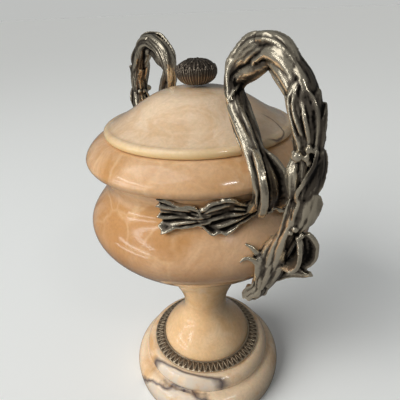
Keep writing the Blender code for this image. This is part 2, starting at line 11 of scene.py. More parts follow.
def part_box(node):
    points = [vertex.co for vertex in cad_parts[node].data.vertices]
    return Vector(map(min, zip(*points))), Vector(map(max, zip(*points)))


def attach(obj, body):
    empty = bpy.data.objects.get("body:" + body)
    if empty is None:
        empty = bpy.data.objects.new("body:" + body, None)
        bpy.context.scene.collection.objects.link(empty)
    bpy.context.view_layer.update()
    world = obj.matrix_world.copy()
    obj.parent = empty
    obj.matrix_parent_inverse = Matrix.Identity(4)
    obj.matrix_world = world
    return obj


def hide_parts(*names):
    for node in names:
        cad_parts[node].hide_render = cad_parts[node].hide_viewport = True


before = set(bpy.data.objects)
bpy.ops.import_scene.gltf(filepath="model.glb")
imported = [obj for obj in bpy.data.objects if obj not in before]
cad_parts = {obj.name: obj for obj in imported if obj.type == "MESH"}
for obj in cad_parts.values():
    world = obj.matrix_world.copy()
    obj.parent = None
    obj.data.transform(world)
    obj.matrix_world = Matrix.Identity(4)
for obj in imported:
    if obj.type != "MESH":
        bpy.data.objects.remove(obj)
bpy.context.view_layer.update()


# Camera and room
# The urn is seen from the right front, a little from above, as someone standing at the mantel holds a
# phone to it. Three window panes light it from the left and a small one from the right, over a plain
# pale floor that runs into haze.

view_turn = math.radians(60.0)  # how far the room and its camera are turned round the urn
view_back = 0.3273
view_height = 0.3983
view_pitch = math.radians(27.43)
view_roll = math.radians(-2.44)
view_yaw = math.radians(0.26)
view_lens = 33.3
floor_radius = 40.0
floor_seen = (0.93, 0.94, 0.93, 1)
floor_as_light = (0.22, 0.22, 0.22, 1)  # darker than it looks, so that it does not wash out the bronze
haze_colour = (0.513, 0.521, 0.510, 1)
urn_middle = Vector((0, 0, 0.2))
daylight_spread = math.radians(50.0)
room = Matrix.Rotation(view_turn, 4, "Z")


def add_object(name, data):
    """A new object in the scene."""
    thing = bpy.data.objects.new(name, data)
    bpy.context.scene.collection.objects.link(thing)
    return thing


lens = bpy.data.cameras.new("camera")
lens.lens = view_lens
lens.sensor_width = 36.0
lens.clip_start = 0.01
camera = add_object("camera", lens)
camera.matrix_world = (
    room
    @ Matrix.Translation((0.0, -view_back, view_height))
    @ Matrix.Rotation(view_yaw, 4, "Z")
    @ Matrix.Rotation(math.pi / 2 - view_pitch, 4, "X")
    @ Matrix.Rotation(view_roll, 4, "Z")
)
bpy.context.scene.camera = camera
bpy.context.scene.view_settings.view_transform = "Standard"

floor_mesh = bmesh.new()
bmesh.ops.create_circle(floor_mesh, cap_ends=True, segments=96, radius=floor_radius)
floor_data = bpy.data.meshes.new("floor")
floor_mesh.to_mesh(floor_data)
floor_mesh.free()
floor = add_object("floor", floor_data)
floor_paint = bpy.data.materials.new("floor_paint")
floor_paint.use_nodes = True
floor_tree = floor_paint.node_tree
floor_ray = floor_tree.nodes.new("ShaderNodeLightPath")
floor_tone = floor_tree.nodes.new("ShaderNodeMix")
floor_tone.data_type = "RGBA"
floor_tone.inputs[6].default_value = floor_as_light
floor_tone.inputs[7].default_value = floor_seen
floor_tree.links.new(floor_ray.outputs["Is Camera Ray"], floor_tone.inputs[0])
floor_tree.links.new(floor_tone.outputs[2], floor_tree.nodes["Principled BSDF"].inputs["Base Color"])
floor_tree.nodes["Principled BSDF"].inputs["Roughness"].default_value = 0.8
floor_data.materials.append(floor_paint)

for name, azimuth, elevation, distance, width, height, power in (
    ("window_pane_1", -68.0, 4.0, 1.5, 0.95, 0.10, 1.0),
    ("window_pane_2", -68.0, 16.0, 1.5, 0.95, 0.09, 1.0),
    ("window_pane_3", -68.0, 28.0, 1.5, 0.95, 0.08, 1.0),
    ("small_window", 31.0, 43.0, 1.7, 0.30, 0.085, 1.5),
    ("ceiling_bounce", -70.0, 60.0, 2.2, 1.8, 1.2, 8.0),
):
    lamp = bpy.data.lights.new(name, "AREA")
    lamp.shape = "RECTANGLE"
    lamp.size = width
    lamp.size_y = height
    lamp.energy = power
    lamp.color = (0.95, 0.98, 1.0)
    stand = add_object(name, lamp)
    stand.visible_camera = False
    toward = Vector((
        math.sin(math.radians(azimuth)) * math.cos(math.radians(elevation)),
        -math.cos(math.radians(azimuth)) * math.cos(math.radians(elevation)),
        math.sin(math.radians(elevation)),
    ))
    place = room @ (toward * distance + urn_middle)
    stand.matrix_world = Matrix.Translation(place) @ (
        (room.to_3x3() @ toward).to_track_quat("Z", "Y").to_matrix().to_4x4()
    )

for name, azimuth, tilt, strength in (("daylight", -58.0, 62.0, 3.05), ("room_bounce", 165.0, 55.0, 0.16)):
    lamp = bpy.data.lights.new(name, "SUN")
    lamp.energy = strength
    lamp.angle = daylight_spread
    lamp.color = (1.0, 0.99, 0.96)
    sun = add_object(name, lamp)
    aim = Matrix.Rotation(math.radians(azimuth), 4, "Z") @ Matrix.Rotation(math.radians(tilt), 4, "X")
    sun.matrix_world = room @ aim
    sun.visible_glossy = False

sky = bpy.data.worlds.new("room_light")
sky.use_nodes = True
sky_nodes = sky.node_tree.nodes
sky_nodes["Background"].inputs["Color"].default_value = (0.84, 0.88, 0.90, 1)
sky_nodes["Background"].inputs["Strength"].default_value = 0.14
haze = sky_nodes.new("ShaderNodeBackground")
haze.inputs["Color"].default_value = haze_colour
seen = sky_nodes.new("ShaderNodeLightPath")
blend = sky_nodes.new("ShaderNodeMixShader")
sky.node_tree.links.new(seen.outputs["Is Camera Ray"], blend.inputs[0])
sky.node_tree.links.new(sky_nodes["Background"].outputs[0], blend.inputs[1])
sky.node_tree.links.new(haze.outputs[0], blend.inputs[2])
sky.node_tree.links.new(blend.outputs[0], sky_nodes["World Output"].inputs["Surface"])
bpy.context.scene.world = sky


# Foot
# A solid round of pale onyx, turned with a soft shoulder over a wide bottom roll and polished. A white
# layer edged with dark grey runs through its front left, and painted shade darkens it where it crosses the
# groove, so it shows as one lens on each swelling.

foot_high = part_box("foot")[1]
foot_radius = foot_high[0]
foot_height = foot_high[2]
foot_base_radius = foot_radius - 0.0059
foot_shoulder_radius = foot_radius - 0.0136
foot_seat_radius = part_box("foot_band")[1][0] + 0.0003
foot_roll_height = 0.034
turning_steps = 192


def sweep(centre, reach, count, power=2.0):
    """A quarter of a superellipse, from the side of its centre at reach[0] to the end at reach[1]."""
    points = []
    for i in range(count + 1):
        turn = math.pi / 2 * i / count
        x = max(math.cos(turn), 0.0) ** (2 / power)
        y = max(math.sin(turn), 0.0) ** (2 / power)
        points.append((centre[0] + reach[0] * x, centre[1] + reach[1] * y))
    return points


def turn_stone(name, profile, material, steps=turning_steps):
    """Spins a profile of (radius, height) points into one closed turning."""
    shape = bmesh.new()
    points = [shape.verts.new((radius, 0.0, height)) for radius, height in profile]
    edges = [shape.edges.new(pair) for pair in zip(points, points[1:])]
    bmesh.ops.spin(
        shape, geom=points + edges, cent=(0, 0, 0), axis=(0, 0, 1), angle=math.tau,
        steps=steps, use_merge=True,
    )
    bmesh.ops.remove_doubles(shape, verts=shape.verts, dist=0.00001)
    bmesh.ops.recalc_face_normals(shape, faces=shape.faces)
    mesh = bpy.data.meshes.new(name)
    shape.to_mesh(mesh)
    shape.free()
    mesh.materials.append(material)
    mesh.shade_smooth()
    mesh.set_sharp_from_angle(angle=math.radians(50))
    return add_object(name, mesh)


def add_node(tree, kind, **values):
    """A shader node with its settings and plain input values; links are given as sockets."""
    node = tree.nodes.new(kind)
    for key, value in values.items():
        if key.startswith("set_"):
            setattr(node, key[4:], value)
            continue
        socket = node.inputs[int(key[3:])] if key.startswith("in_") else node.inputs[key]
        if isinstance(value, bpy.types.NodeSocket):
            tree.links.new(value, socket)
        else:
            socket.default_value = value
    return node


def reckon(tree, operation, *values):
    """The result of a Math node on the values."""
    given_values = {f"in_{i}": value for i, value in enumerate(values)}
    return add_node(tree, "ShaderNodeMath", set_operation=operation, **given_values).outputs[0]


def reckon_vector(tree, operation, *values):
    """The result of a Vector Math node on the values, which some operations make a plain number."""
    given_values = {f"in_{i}": value for i, value in enumerate(values)}
    node = add_node(tree, "ShaderNodeVectorMath", set_operation=operation, **given_values)
    return node.outputs["Value" if operation in ("LENGTH", "DISTANCE", "DOT_PRODUCT") else "Vector"]


def rescale(tree, value, start, end, low=0.0, high=1.0):
    """The value carried from the range start to end over to the range low to high."""
    carried = add_node(tree, "ShaderNodeMapRange", Value=value, in_1=start, in_2=end, in_3=low, in_4=high)
    return carried.outputs[0]


def colour_between(tree, share, first, second):
    """The first colour, or the second one where share is 1."""
    mixed = add_node(tree, "ShaderNodeMix", set_data_type="RGBA", in_0=share, in_6=first, in_7=second)
    return mixed.outputs[2]


def mottle(tree, place, scale, detail, roughness=0.5):
    """Noise from 0 to 1 through the piece."""
    return add_node(
        tree, "ShaderNodeTexNoise", Vector=place, Scale=scale, Detail=detail, Roughness=roughness
    ).outputs["Fac"]


def new_effect(name, inputs, outputs):
    """A node group with sockets given as (name, kind), and the sockets inside it."""
    group = bpy.data.node_groups.new(name, "ShaderNodeTree")
    for in_out, sockets in (("INPUT", inputs), ("OUTPUT", outputs)):
        for socket_name, kind in sockets:
            group.interface.new_socket(name=socket_name, in_out=in_out, socket_type="NodeSocket" + kind)
    return group, group.nodes.new("NodeGroupInput").outputs, group.nodes.new("NodeGroupOutput").inputs


def effect_material(name, group, **values):
    """A material that takes its colour and roughness from a node group. Returns its parts too."""
    material = bpy.data.materials.new(name)
    material.use_nodes = True
    tree = material.node_tree
    shader = tree.nodes["Principled BSDF"]
    effect = add_node(tree, "ShaderNodeGroup", set_node_tree=group, **values)
    tree.links.new(effect.outputs["Color"], shader.inputs["Base Color"])
    tree.links.new(effect.outputs["Roughness"], shader.inputs["Roughness"])
    return material, tree, shader, effect


onyx_effect, given, result = new_effect(
    "onyx_effect",
    (
        ("Cream", "Color"), ("Honey", "Color"), ("Vein", "Color"), ("Cloud Scale", "Float"),
        ("Cloud Bias", "Float"), ("Cell Scale", "Float"), ("Vein Strength", "Float"),
    ),
    (("Color", "Color"), ("Roughness", "Float")),
)
tree = onyx_effect
place = add_node(tree, "ShaderNodeTexCoord").outputs["Object"]
warp = add_node(tree, "ShaderNodeTexNoise", Vector=place, Scale=22.0, Detail=3.0)
bent = reckon_vector(tree, "MULTIPLY_ADD", warp.outputs["Color"], (0.035, 0.035, 0.035), place)
cloud = add_node(tree, "ShaderNodeTexNoise", Vector=bent, Scale=given["Cloud Scale"], Detail=5.0,
                 Roughness=0.55, Distortion=0.6).outputs["Fac"]
honey_share = rescale(tree, reckon(tree, "ADD", cloud, given["Cloud Bias"]), 0.40, 0.60)
ground = colour_between(tree, honey_share, given["Cream"], given["Honey"])
cells = add_node(tree, "ShaderNodeTexVoronoi", set_feature="DISTANCE_TO_EDGE", Vector=bent,
                 Scale=given["Cell Scale"], Randomness=1.0).outputs["Distance"]
patches = rescale(tree, mottle(tree, place, 17.0, 2.0), 0.42, 0.62)
line_share = reckon(tree, "MULTIPLY", rescale(tree, cells, 0.0, 0.09, 1.0, 0.0), patches)
line_share = reckon(tree, "MULTIPLY", line_share, given["Vein Strength"])
veined = colour_between(tree, line_share, ground, given["Vein"])
grain = mottle(tree, bent, 330.0, 4.0, 0.7)
grained = add_node(tree, "ShaderNodeVectorMath", set_operation="SCALE", in_0=veined,
                   Scale=rescale(tree, grain, 0.3, 0.7, 0.90, 1.08)).outputs[0]
tree.links.new(grained, result["Color"])
tree.links.new(rescale(tree, grain, 0.3, 0.7, 0.13, 0.22), result["Roughness"])


def polished_onyx(name, cream, honey, vein, cloud_scale, cloud_bias, cell_scale, vein_strength):
    """A polished onyx with the light soaking a little way in. Returns it, its tree, shader and colour."""
    material, tree, shader, effect = effect_material(name, onyx_effect, **{
        "Cream": (*cream, 1), "Honey": (*honey, 1), "Vein": (*vein, 1), "Cloud Scale": cloud_scale,
        "Cloud Bias": cloud_bias, "Cell Scale": cell_scale, "Vein Strength": vein_strength,
    })
    shader.inputs["Subsurface Weight"].default_value = 0.22
    shader.inputs["Subsurface Radius"].default_value = (1.0, 0.55, 0.25)
    shader.inputs["Subsurface Scale"].default_value = 0.006
    shader.inputs["IOR"].default_value = 1.55
    shader.inputs["Coat Weight"].default_value = 0.6
    shader.inputs["Coat Roughness"].default_value = 0.08
    return material, tree, shader, effect.outputs["Color"]


foot_stone, tree, shader, stone_colour = polished_onyx(
    "foot_onyx", (0.82, 0.62, 0.42), (0.66, 0.40, 0.19), (0.88, 0.75, 0.57), 26.0, -0.05, 24.0, 0.5
)
layer_turn = math.radians(-54.0)  # from +X to the middle of the white layer
layer_shift = 0.002
shoulder_lens = (0.040, foot_shoulder_radius + 0.0004, 0.0092)  # half length, middle's radius, half width
roll_lens = (0.060, 0.008, 0.0262)  # half length, middle's height, half width
layer_reach = 1.17
layer_waver = 0.34
layer_white = (0.66, 0.57, 0.47, 1)
# Dark grey of the layer's own edge, also used as painted shade where the layer crosses the groove.
layer_edge_and_groove_shade = (0.075, 0.055, 0.06, 1)
place = add_node(tree, "ShaderNodeTexCoord").outputs["Object"]
height = add_node(tree, "ShaderNodeSeparateXYZ", Vector=place).outputs["Z"]
from_axis = reckon_vector(tree, "LENGTH", reckon_vector(tree, "MULTIPLY", place, (1.0, 1.0, 0.0)))
sideways = reckon_vector(tree, "DOT_PRODUCT", place, (-math.sin(layer_turn), math.cos(layer_turn), 0.0))
facing = reckon_vector(tree, "DOT_PRODUCT", place, (math.cos(layer_turn), math.sin(layer_turn), 0.0))
along = reckon(tree, "SUBTRACT", sideways, layer_shift)
reaches = []
for level, lens_shape in ((from_axis, shoulder_lens), (height, roll_lens)):
    half_length, middle, half_width = lens_shape
    up = reckon(tree, "DIVIDE", reckon(tree, "SUBTRACT", level, middle), half_width)
    both = add_node(tree, "ShaderNodeCombineXYZ", X=reckon(tree, "DIVIDE", along, half_length), Y=up)
    reaches.append(reckon_vector(tree, "LENGTH", both.outputs[0]))
on_shoulder = reckon(tree, "GREATER_THAN", height, foot_roll_height)
reach = add_node(tree, "ShaderNodeMix", in_0=on_shoulder, in_2=reaches[1], in_3=reaches[0]).outputs[0]
reach = reckon(tree, "MULTIPLY_ADD", mottle(tree, place, 55.0, 3.0), layer_waver, reach)
inside = reckon(tree, "SUBTRACT", layer_reach, reach)
front = reckon(tree, "GREATER_THAN", facing, 0.0)
border = add_node(tree, "ShaderNodeMix", in_0=on_shoulder, in_2=0.075, in_3=0.19).outputs[0]
cloudy = rescale(tree, mottle(tree, place, 95.0, 4.0), 0.35, 0.62, 0.35, 1.0)
white_share = reckon(tree, "MULTIPLY", rescale(tree, inside, 0.0, 0.06), cloudy)
white_share = reckon(tree, "MULTIPLY", white_share, front)
edge_share = rescale(tree, reckon(tree, "ABSOLUTE", inside), 0.0, border, 0.95, 0.0)
# Painted shade: where the white layer crosses the groove between shoulder and roll, it is painted in the dark
# edge colour.
in_groove = reckon(tree, "COMPARE", height, foot_roll_height, 0.0011)
edge_and_groove_shade_share = reckon(tree, "MAXIMUM", edge_share, reckon(tree, "MULTIPLY", in_groove, white_share))
edge_and_groove_shade_share = reckon(tree, "MULTIPLY", edge_and_groove_shade_share, front)
whitened = colour_between(tree, white_share, stone_colour, layer_white)
tree.links.new(colour_between(tree, edge_and_groove_shade_share, whitened, layer_edge_and_groove_shade), shader.inputs["Base Color"])

groove_depth = 0.0012
roll_middle = 0.5 * foot_roll_height
roll_crown = foot_shoulder_radius + groove_depth
shoulder_base = foot_roll_height + 0.004
foot_profile = [(0.0, foot_height)]
foot_profile += reversed(sweep(
    (foot_seat_radius, shoulder_base),
    (foot_shoulder_radius - foot_seat_radius, foot_height - shoulder_base),
    12,
))
foot_profile += [(foot_shoulder_radius - groove_depth, foot_roll_height)]
foot_profile += reversed(sweep(
    (roll_crown, roll_middle), (foot_radius - roll_crown, foot_roll_height - 0.001 - roll_middle), 14
))
foot_profile += sweep(
    (foot_base_radius, roll_middle), (foot_radius - foot_base_radius, -roll_middle), 12, 2.3
)[1:]
foot_profile += [(0.0, 0.0)]
foot = turn_stone("urn_foot", foot_profile, foot_stone)
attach(foot, "root")
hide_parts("foot")


# Foot band
# A narrow bronze casting dropped over the stem's dome. Its sloping face carries a ring of small
# upright leaves, drawn as a row of raised chevrons between two thin rims.

band_low, band_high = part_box("foot_band")
band_outer = band_high[0]
band_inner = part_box("stem")[1][0] + 0.0003
band_floor = band_low[2]
band_rise = band_high[2] - band_low[2]
band_motifs = 60
leaf_relief = 0.0011


def paint_wear_and_light(mesh, scales, spots=()):
    """Stores how far each point stands above its surroundings as the attribute wear.

    Scales are pairs of how many rounds of smoothing make the surroundings, and what a metre is worth.
    Sunk points take the dark of the hollows: patina at fine scales, and painted shade at broad ones.
    Spots are (centre, width, gain): a painted highlight where the gain is above 0, painted shade where it is
    below.
    """
    count = len(mesh.vertices)
    places = np.empty(count * 3)
    mesh.vertices.foreach_get("co", places)
    places = places.reshape(-1, 3)
    normals = np.empty(count * 3)
    mesh.vertex_normals.foreach_get("vector", normals)
    normals = normals.reshape(-1, 3)
    ends = np.empty(len(mesh.edges) * 2, dtype=np.int64)
    mesh.edges.foreach_get("vertices", ends)
    a, b = ends[0::2], ends[1::2]
    links = np.bincount(a, minlength=count) + np.bincount(b, minlength=count)
    wear_and_painted_light = np.full(count, 0.5)
    around = places.copy()
    done = 0
    for rounds, gain in scales:
        for _ in range(rounds - done):
            total = np.zeros_like(around)
            for axis in range(3):
                column = around[:, axis]
                total[:, axis] = np.bincount(a, column[b], count) + np.bincount(b, column[a], count)
            around = total / np.maximum(links, 1)[:, None]
        done = rounds
        # Sunk points darken, as patina at fine scales and as painted shade at broad ones; proud points go
        # bright.
        wear_and_painted_light += np.clip(((places - around) * normals).sum(axis=1) * gain, -0.4, 0.4)
    wear_and_painted_light = np.clip(wear_and_painted_light, 0.0, 1.0)
    # Painted highlights and painted shade, laid on as soft round spots.
    for centre, width, gain in spots:
        wear_and_painted_light += gain * np.exp(-((places - np.array(centre)) ** 2).sum(axis=1) / width**2)
    store = mesh.attributes.new("wear_and_painted_light", "FLOAT", "POINT")
    store.data.foreach_set("value", np.clip(wear_and_painted_light, 0.0, 1.1).astype(np.float32))


bronze_effect, given, result = new_effect(
    "bronze_effect",
    (
        ("Recess", "Color"), ("Body", "Color"), ("Rubbed", "Color"), ("Rub Start", "Float"),
        ("Rub End", "Float"),
    ),
    (("Color", "Color"), ("Roughness", "Float"), ("Height", "Float")),
)
tree = bronze_effect
place = add_node(tree, "ShaderNodeTexCoord").outputs["Object"]
wear_and_painted_light = add_node(tree, "ShaderNodeAttribute", set_attribute_name="wear_and_painted_light").outputs["Fac"]
blotched = reckon(tree, "MULTIPLY_ADD", mottle(tree, place, 90.0, 4.0, 0.6), 0.34, wear_and_painted_light)
blotched = reckon(tree, "SUBTRACT", blotched, 0.17)
# Dark hollows show patina and painted shade; bright ridges show worn metal and painted highlights.
body_colour = colour_between(tree, rescale(tree, blotched, 0.14, 0.46), given["Recess"], given["Body"])
rub_and_highlight_share = rescale(tree, blotched, given["Rub Start"], given["Rub End"])
tree.links.new(colour_between(tree, rub_and_highlight_share, body_colour, given["Rubbed"]), result["Color"])
tree.links.new(rescale(tree, blotched, 0.2, 0.8, 0.52, 0.22), result["Roughness"])
tree.links.new(mottle(tree, place, 900.0, 3.0, 0.6), result["Height"])


def aged_bronze(name, recess, body, rubbed, rub_start, rub_end, metal, pit_depth):
    """Bronze with a dark patina, worn bright where it stands proud; its dark and bright colours also carry
    painted shade and painted highlights where the mesh has them.
    """
    material, tree, shader, effect = effect_material(name, bronze_effect, **{
        "Recess": (*recess, 1), "Body": (*body, 1), "Rubbed": (*rubbed, 1), "Rub Start": rub_start,
        "Rub End": rub_end,
    })
    bump = add_node(tree, "ShaderNodeBump", Height=effect.outputs["Height"], Strength=0.35,
                    Distance=pit_depth)
    tree.links.new(bump.outputs["Normal"], shader.inputs["Normal"])
    shader.inputs["Metallic"].default_value = metal
    return material


band_bronze = aged_bronze(
    "band_bronze", (0.12, 0.085, 0.055), (0.38, 0.29, 0.19), (0.68, 0.55, 0.39), 0.56, 0.95, 0.8, 0.0002
)
band_top = band_floor + band_rise
slope_outer = band_outer - 0.0006
slope_inner = band_inner + 0.0016
band_profile = [(band_inner, band_floor), (band_outer - 0.0004, band_floor)]
band_profile += [(band_outer, band_floor + 0.0008), (band_outer, band_floor + 0.0020)]
slope_points = 12
for i in range(slope_points + 1):
    t = i / slope_points
    swell = 0.0005 * math.sin(math.pi * t)
    band_profile.append((
        slope_outer - (slope_outer - slope_inner) * t, band_floor + 0.0024 + (band_rise - 0.0034) * t + swell
    ))
band_profile += [(band_inner + 0.0010, band_top), (band_inner, band_top), (band_inner, band_floor)]
band = turn_stone("urn_foot_band", band_profile, band_bronze, band_motifs * 12)
for vertex in band.data.vertices:
    x, y, z = vertex.co
    slope = (slope_outer - math.hypot(x, y)) / (slope_outer - slope_inner)
    if 0.04 < slope < 0.96 and z > band_floor + 0.0015:
        turn = math.atan2(y, x) / math.tau * band_motifs % 1.0
        arm = abs(turn - 0.5) * 2.0
        chevron = math.exp(-((arm - (0.15 + 0.75 * slope)) / 0.20) ** 2)
        rib = math.exp(-(arm / 0.16) ** 2) * (1 - slope)
        vertex.co.z += leaf_relief * (max(chevron, rib) - 0.75) * math.sin(math.pi * slope) ** 0.4
paint_wear_and_light(band.data, [(5, 2400.0)])
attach(band, "root")
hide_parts("foot_band")


# Stem
# Pale onyx, turned in one piece: flared under the bowl, waisted, and swelling to a low dome that
# stands inside the bronze band.

stem_low, stem_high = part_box("stem")
stem_base = stem_low[2]
stem_top = stem_high[2]
stem_dome_radius = stem_high[0]
stem_dome_rim = 0.006
stem_top_radius = 0.0375
stem_waist_radius = 0.0236
stem_waist = stem_base + 0.051


def ease(t):
    """0 to 1 with a flat start and a flat end."""
    return (1 - math.cos(math.pi * t)) / 2


def run(start, end, count, bend=ease):
    """Points on the way from start to end, as (radius, height), with the radius moving as bend says."""
    points = []
    for i in range(1, count + 1):
        t = i / count
        points.append((start[0] + (end[0] - start[0]) * bend(t), start[1] + (end[1] - start[1]) * t))
    return points


stem_stone = polished_onyx(
    "stem_onyx", (0.79, 0.55, 0.32), (0.72, 0.45, 0.22), (0.84, 0.66, 0.45), 20.0, 0.0, 22.0, 0.35
)[0]
stem_narrow = (stem_waist_radius, stem_waist)
stem_profile = [(0.0, stem_top), (stem_top_radius, stem_top)]
stem_profile += run((stem_top_radius, stem_top), stem_narrow, 28, lambda t: ease(t**0.85))
stem_profile += run(stem_narrow, (stem_dome_radius, stem_base + stem_dome_rim), 32, lambda t: ease(t**1.2))
stem_profile += [(stem_dome_radius, stem_base), (0.0, stem_base)]
stem = turn_stone("urn_stem", stem_profile, stem_stone)
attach(stem, "root")
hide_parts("stem")


# Bowl
# The richest piece of onyx: orange-brown with lighter cell-like veins. It is turned hollow, with a full
# belly, a concave neck under a double fillet, and a heavy rounded rim that carries the lid.

bowl_low, bowl_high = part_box("bowl")
bowl_base = bowl_low[2]
rim_top = bowl_high[2]
belly_radius = bowl_high[0]
belly_height = bowl_base + 0.0745
neck_radius = 0.0872
neck_height = bowl_base + 0.1125
rim_radius = 0.1018
rim_nose = bowl_base + 0.1370
rim_underside = bowl_base + 0.1285
fillet_height = 0.0018
fillet_radius = neck_radius + 0.0045
mouth_radius = 0.0700
bowl_wall = 0.0120
bowl_floor = bowl_base + 0.0160
lid_low, lid_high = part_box("lid")
lid_radius = lid_high[0]
seat_radius = lid_radius - 0.0006

bowl_outside = list(reversed(sweep(
    (seat_radius, rim_nose), (rim_radius - seat_radius, rim_top - rim_nose), 18, 1.45
)))
bowl_outside += sweep(
    (fillet_radius, rim_nose), (rim_radius - fillet_radius, rim_underside - rim_nose), 12
)[1:]
bowl_outside += [
    (fillet_radius + 0.0001, rim_underside - 0.35 * fillet_height),
    (fillet_radius - 0.0006, rim_underside - 0.5 * fillet_height),
    (fillet_radius, rim_underside - 0.65 * fillet_height),
    (fillet_radius, rim_underside - fillet_height),
]
bowl_neck = (neck_radius, neck_height)
bowl_belly = (belly_radius, belly_height)
bowl_outside += run(bowl_outside[-1], bowl_neck, 14, lambda t: ease(t) ** 0.8)
bowl_outside += run(bowl_neck, bowl_belly, 24)
bowl_outside += run(
    bowl_belly, (stem_top_radius, bowl_base), 40, lambda t: 1 - max(math.cos(t * math.pi / 2), 0.0) ** 1.3
)
hollow_width = belly_radius - bowl_wall
hollow_neck = min(neck_radius - bowl_wall, mouth_radius + 0.006)
bowl_inside = [(0.0, bowl_floor)]
bowl_inside += reversed(sweep((0.0, belly_height), (hollow_width, bowl_floor - belly_height), 24, 1.75)[:-1])
bowl_inside += run((hollow_width, belly_height), (hollow_neck, neck_height), 12)
bowl_inside += [(mouth_radius, neck_height + 0.4 * (rim_top - neck_height)), (mouth_radius, rim_top)]

bowl_stone, tree, shader, stone_colour = polished_onyx(
    "bowl_onyx", (0.73, 0.495, 0.31), (0.53, 0.29, 0.12), (0.86, 0.64, 0.41), 13.0, 0.01, 36.0, 0.4
)
place = add_node(tree, "ShaderNodeTexCoord").outputs["Object"]
height = add_node(tree, "ShaderNodeSeparateXYZ", Vector=place).outputs["Z"]
# Painted shade: the onyx's colour is darkened more and more towards the bottom of the bowl.
depth = rescale(tree, height, bowl_base + 0.105, bowl_base + 0.015)
painted_low_shade = colour_between(tree, depth, (1.0, 0.97, 0.93, 1), (0.58, 0.40, 0.24, 1))
tree.links.new(reckon_vector(tree, "MULTIPLY", stone_colour, painted_low_shade), shader.inputs["Base Color"])
bowl = turn_stone("urn_bowl", [*bowl_inside, *bowl_outside, (0.0, bowl_base)], bowl_stone)
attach(bowl, "root")
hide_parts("bowl")


# Lid
# Creamy, finely speckled onyx with a yellow, more translucent lip. It is turned as a low dome, hollow
# underneath, and a short spigot keeps it centred in the mouth.

lid_base = rim_top + 0.0003
lid_top = lid_high[2]
lid_lip_height = 0.0078
lid_lip_width = 0.0056
lid_crown_radius = 0.0195
lid_wall = 0.0130
lid_fullness = 0.12
lid_flare = 0.05
spigot_radius = mouth_radius - 0.0015
spigot_foot = lid_low[2]
spigot_inner = spigot_radius - 0.0070

lid_stone, tree, shader, stone_colour = polished_onyx(
    "lid_onyx", (0.77, 0.58, 0.40), (0.67, 0.46, 0.28), (0.85, 0.69, 0.50), 30.0, -0.03, 34.0, 0.25
)
lip_middle = lid_base + 0.5 * lid_lip_height
lip_top = lid_base + lid_lip_height
lip_shoulder = lid_radius - lid_lip_width
lid_profile = [(0.0, lid_top), (0.6 * lid_crown_radius, lid_top)]
for i in range(33):
    t = 1 - i / 32
    rise = t + lid_fullness * math.sin(math.pi * t) - lid_flare * math.sin(math.tau * t)
    lid_profile.append((
        lip_shoulder + (lid_crown_radius - lip_shoulder) * t,
        lip_top + (lid_top - 0.0012 - lip_top) * rise,
    ))
lip_round = sweep((lip_shoulder, lip_middle), (lid_lip_width, lip_top - lip_middle), 10)
lid_profile += list(reversed(lip_round))[1:]
lip_seat = lid_radius - 0.0028
lid_profile += sweep((lip_seat, lip_middle), (lid_radius - lip_seat, lid_base - lip_middle), 8)[1:]
lid_profile += [(spigot_radius, lid_base), (spigot_radius, spigot_foot)]
lid_profile += sweep((0.0, spigot_foot), (spigot_inner, lid_top - lid_wall - spigot_foot), 16)
place = add_node(tree, "ShaderNodeTexCoord").outputs["Object"]
height = add_node(tree, "ShaderNodeSeparateXYZ", Vector=place).outputs["Z"]
lip_share = rescale(tree, height, lid_base + 0.009, lid_base + 0.001)
lipped = colour_between(tree, lip_share, stone_colour, (0.76, 0.56, 0.27, 1))
vein_middle = (0.065, 0.020, 0.314)
vein_reach = 0.0193
vein_facing = (0.45, 0.88, -0.15)
vein_colour = (0.13, 0.075, 0.05, 1)
from_vein = reckon_vector(tree, "DISTANCE", place, vein_middle)
off_line = reckon(tree, "MULTIPLY_ADD", mottle(tree, place, 90.0, 2.0), 0.004, from_vein)
off_line = reckon(tree, "ABSOLUTE", reckon(tree, "SUBTRACT", off_line, vein_reach))
line_share = rescale(tree, off_line, 0.0002, 0.0013, 0.85, 0.0)
ward = reckon_vector(tree, "DOT_PRODUCT", reckon_vector(tree, "SUBTRACT", place, vein_middle), vein_facing)
line_share = reckon(tree, "MULTIPLY", line_share, rescale(tree, ward, 0.0, 0.006))
tree.links.new(colour_between(tree, line_share, lipped, vein_colour), shader.inputs["Base Color"])
lid = turn_stone("urn_lid", lid_profile, lid_stone)
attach(lid, "root")
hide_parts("lid")


# Handles
# Each handle is one bronze casting: a branch that rises from a leaf spray in the neck, arches over the
# lid and comes down outside in overlapping leaves and berries to roots that grip the belly.

handle_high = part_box("handle_right")[1]
arch = rim_top + 0.0735
lean = 0.0620
reach = 0.1328
branch_radius = 0.0088
leaf_thickness = 0.0026
casting_voxel = 0.0008
stand_off = 0.0003
flow_depth = 0.00030
fine_flow_depth = 0.00024
grain_depth = 0.00008
soft_edge = 0.006
soft_top = 0.0015

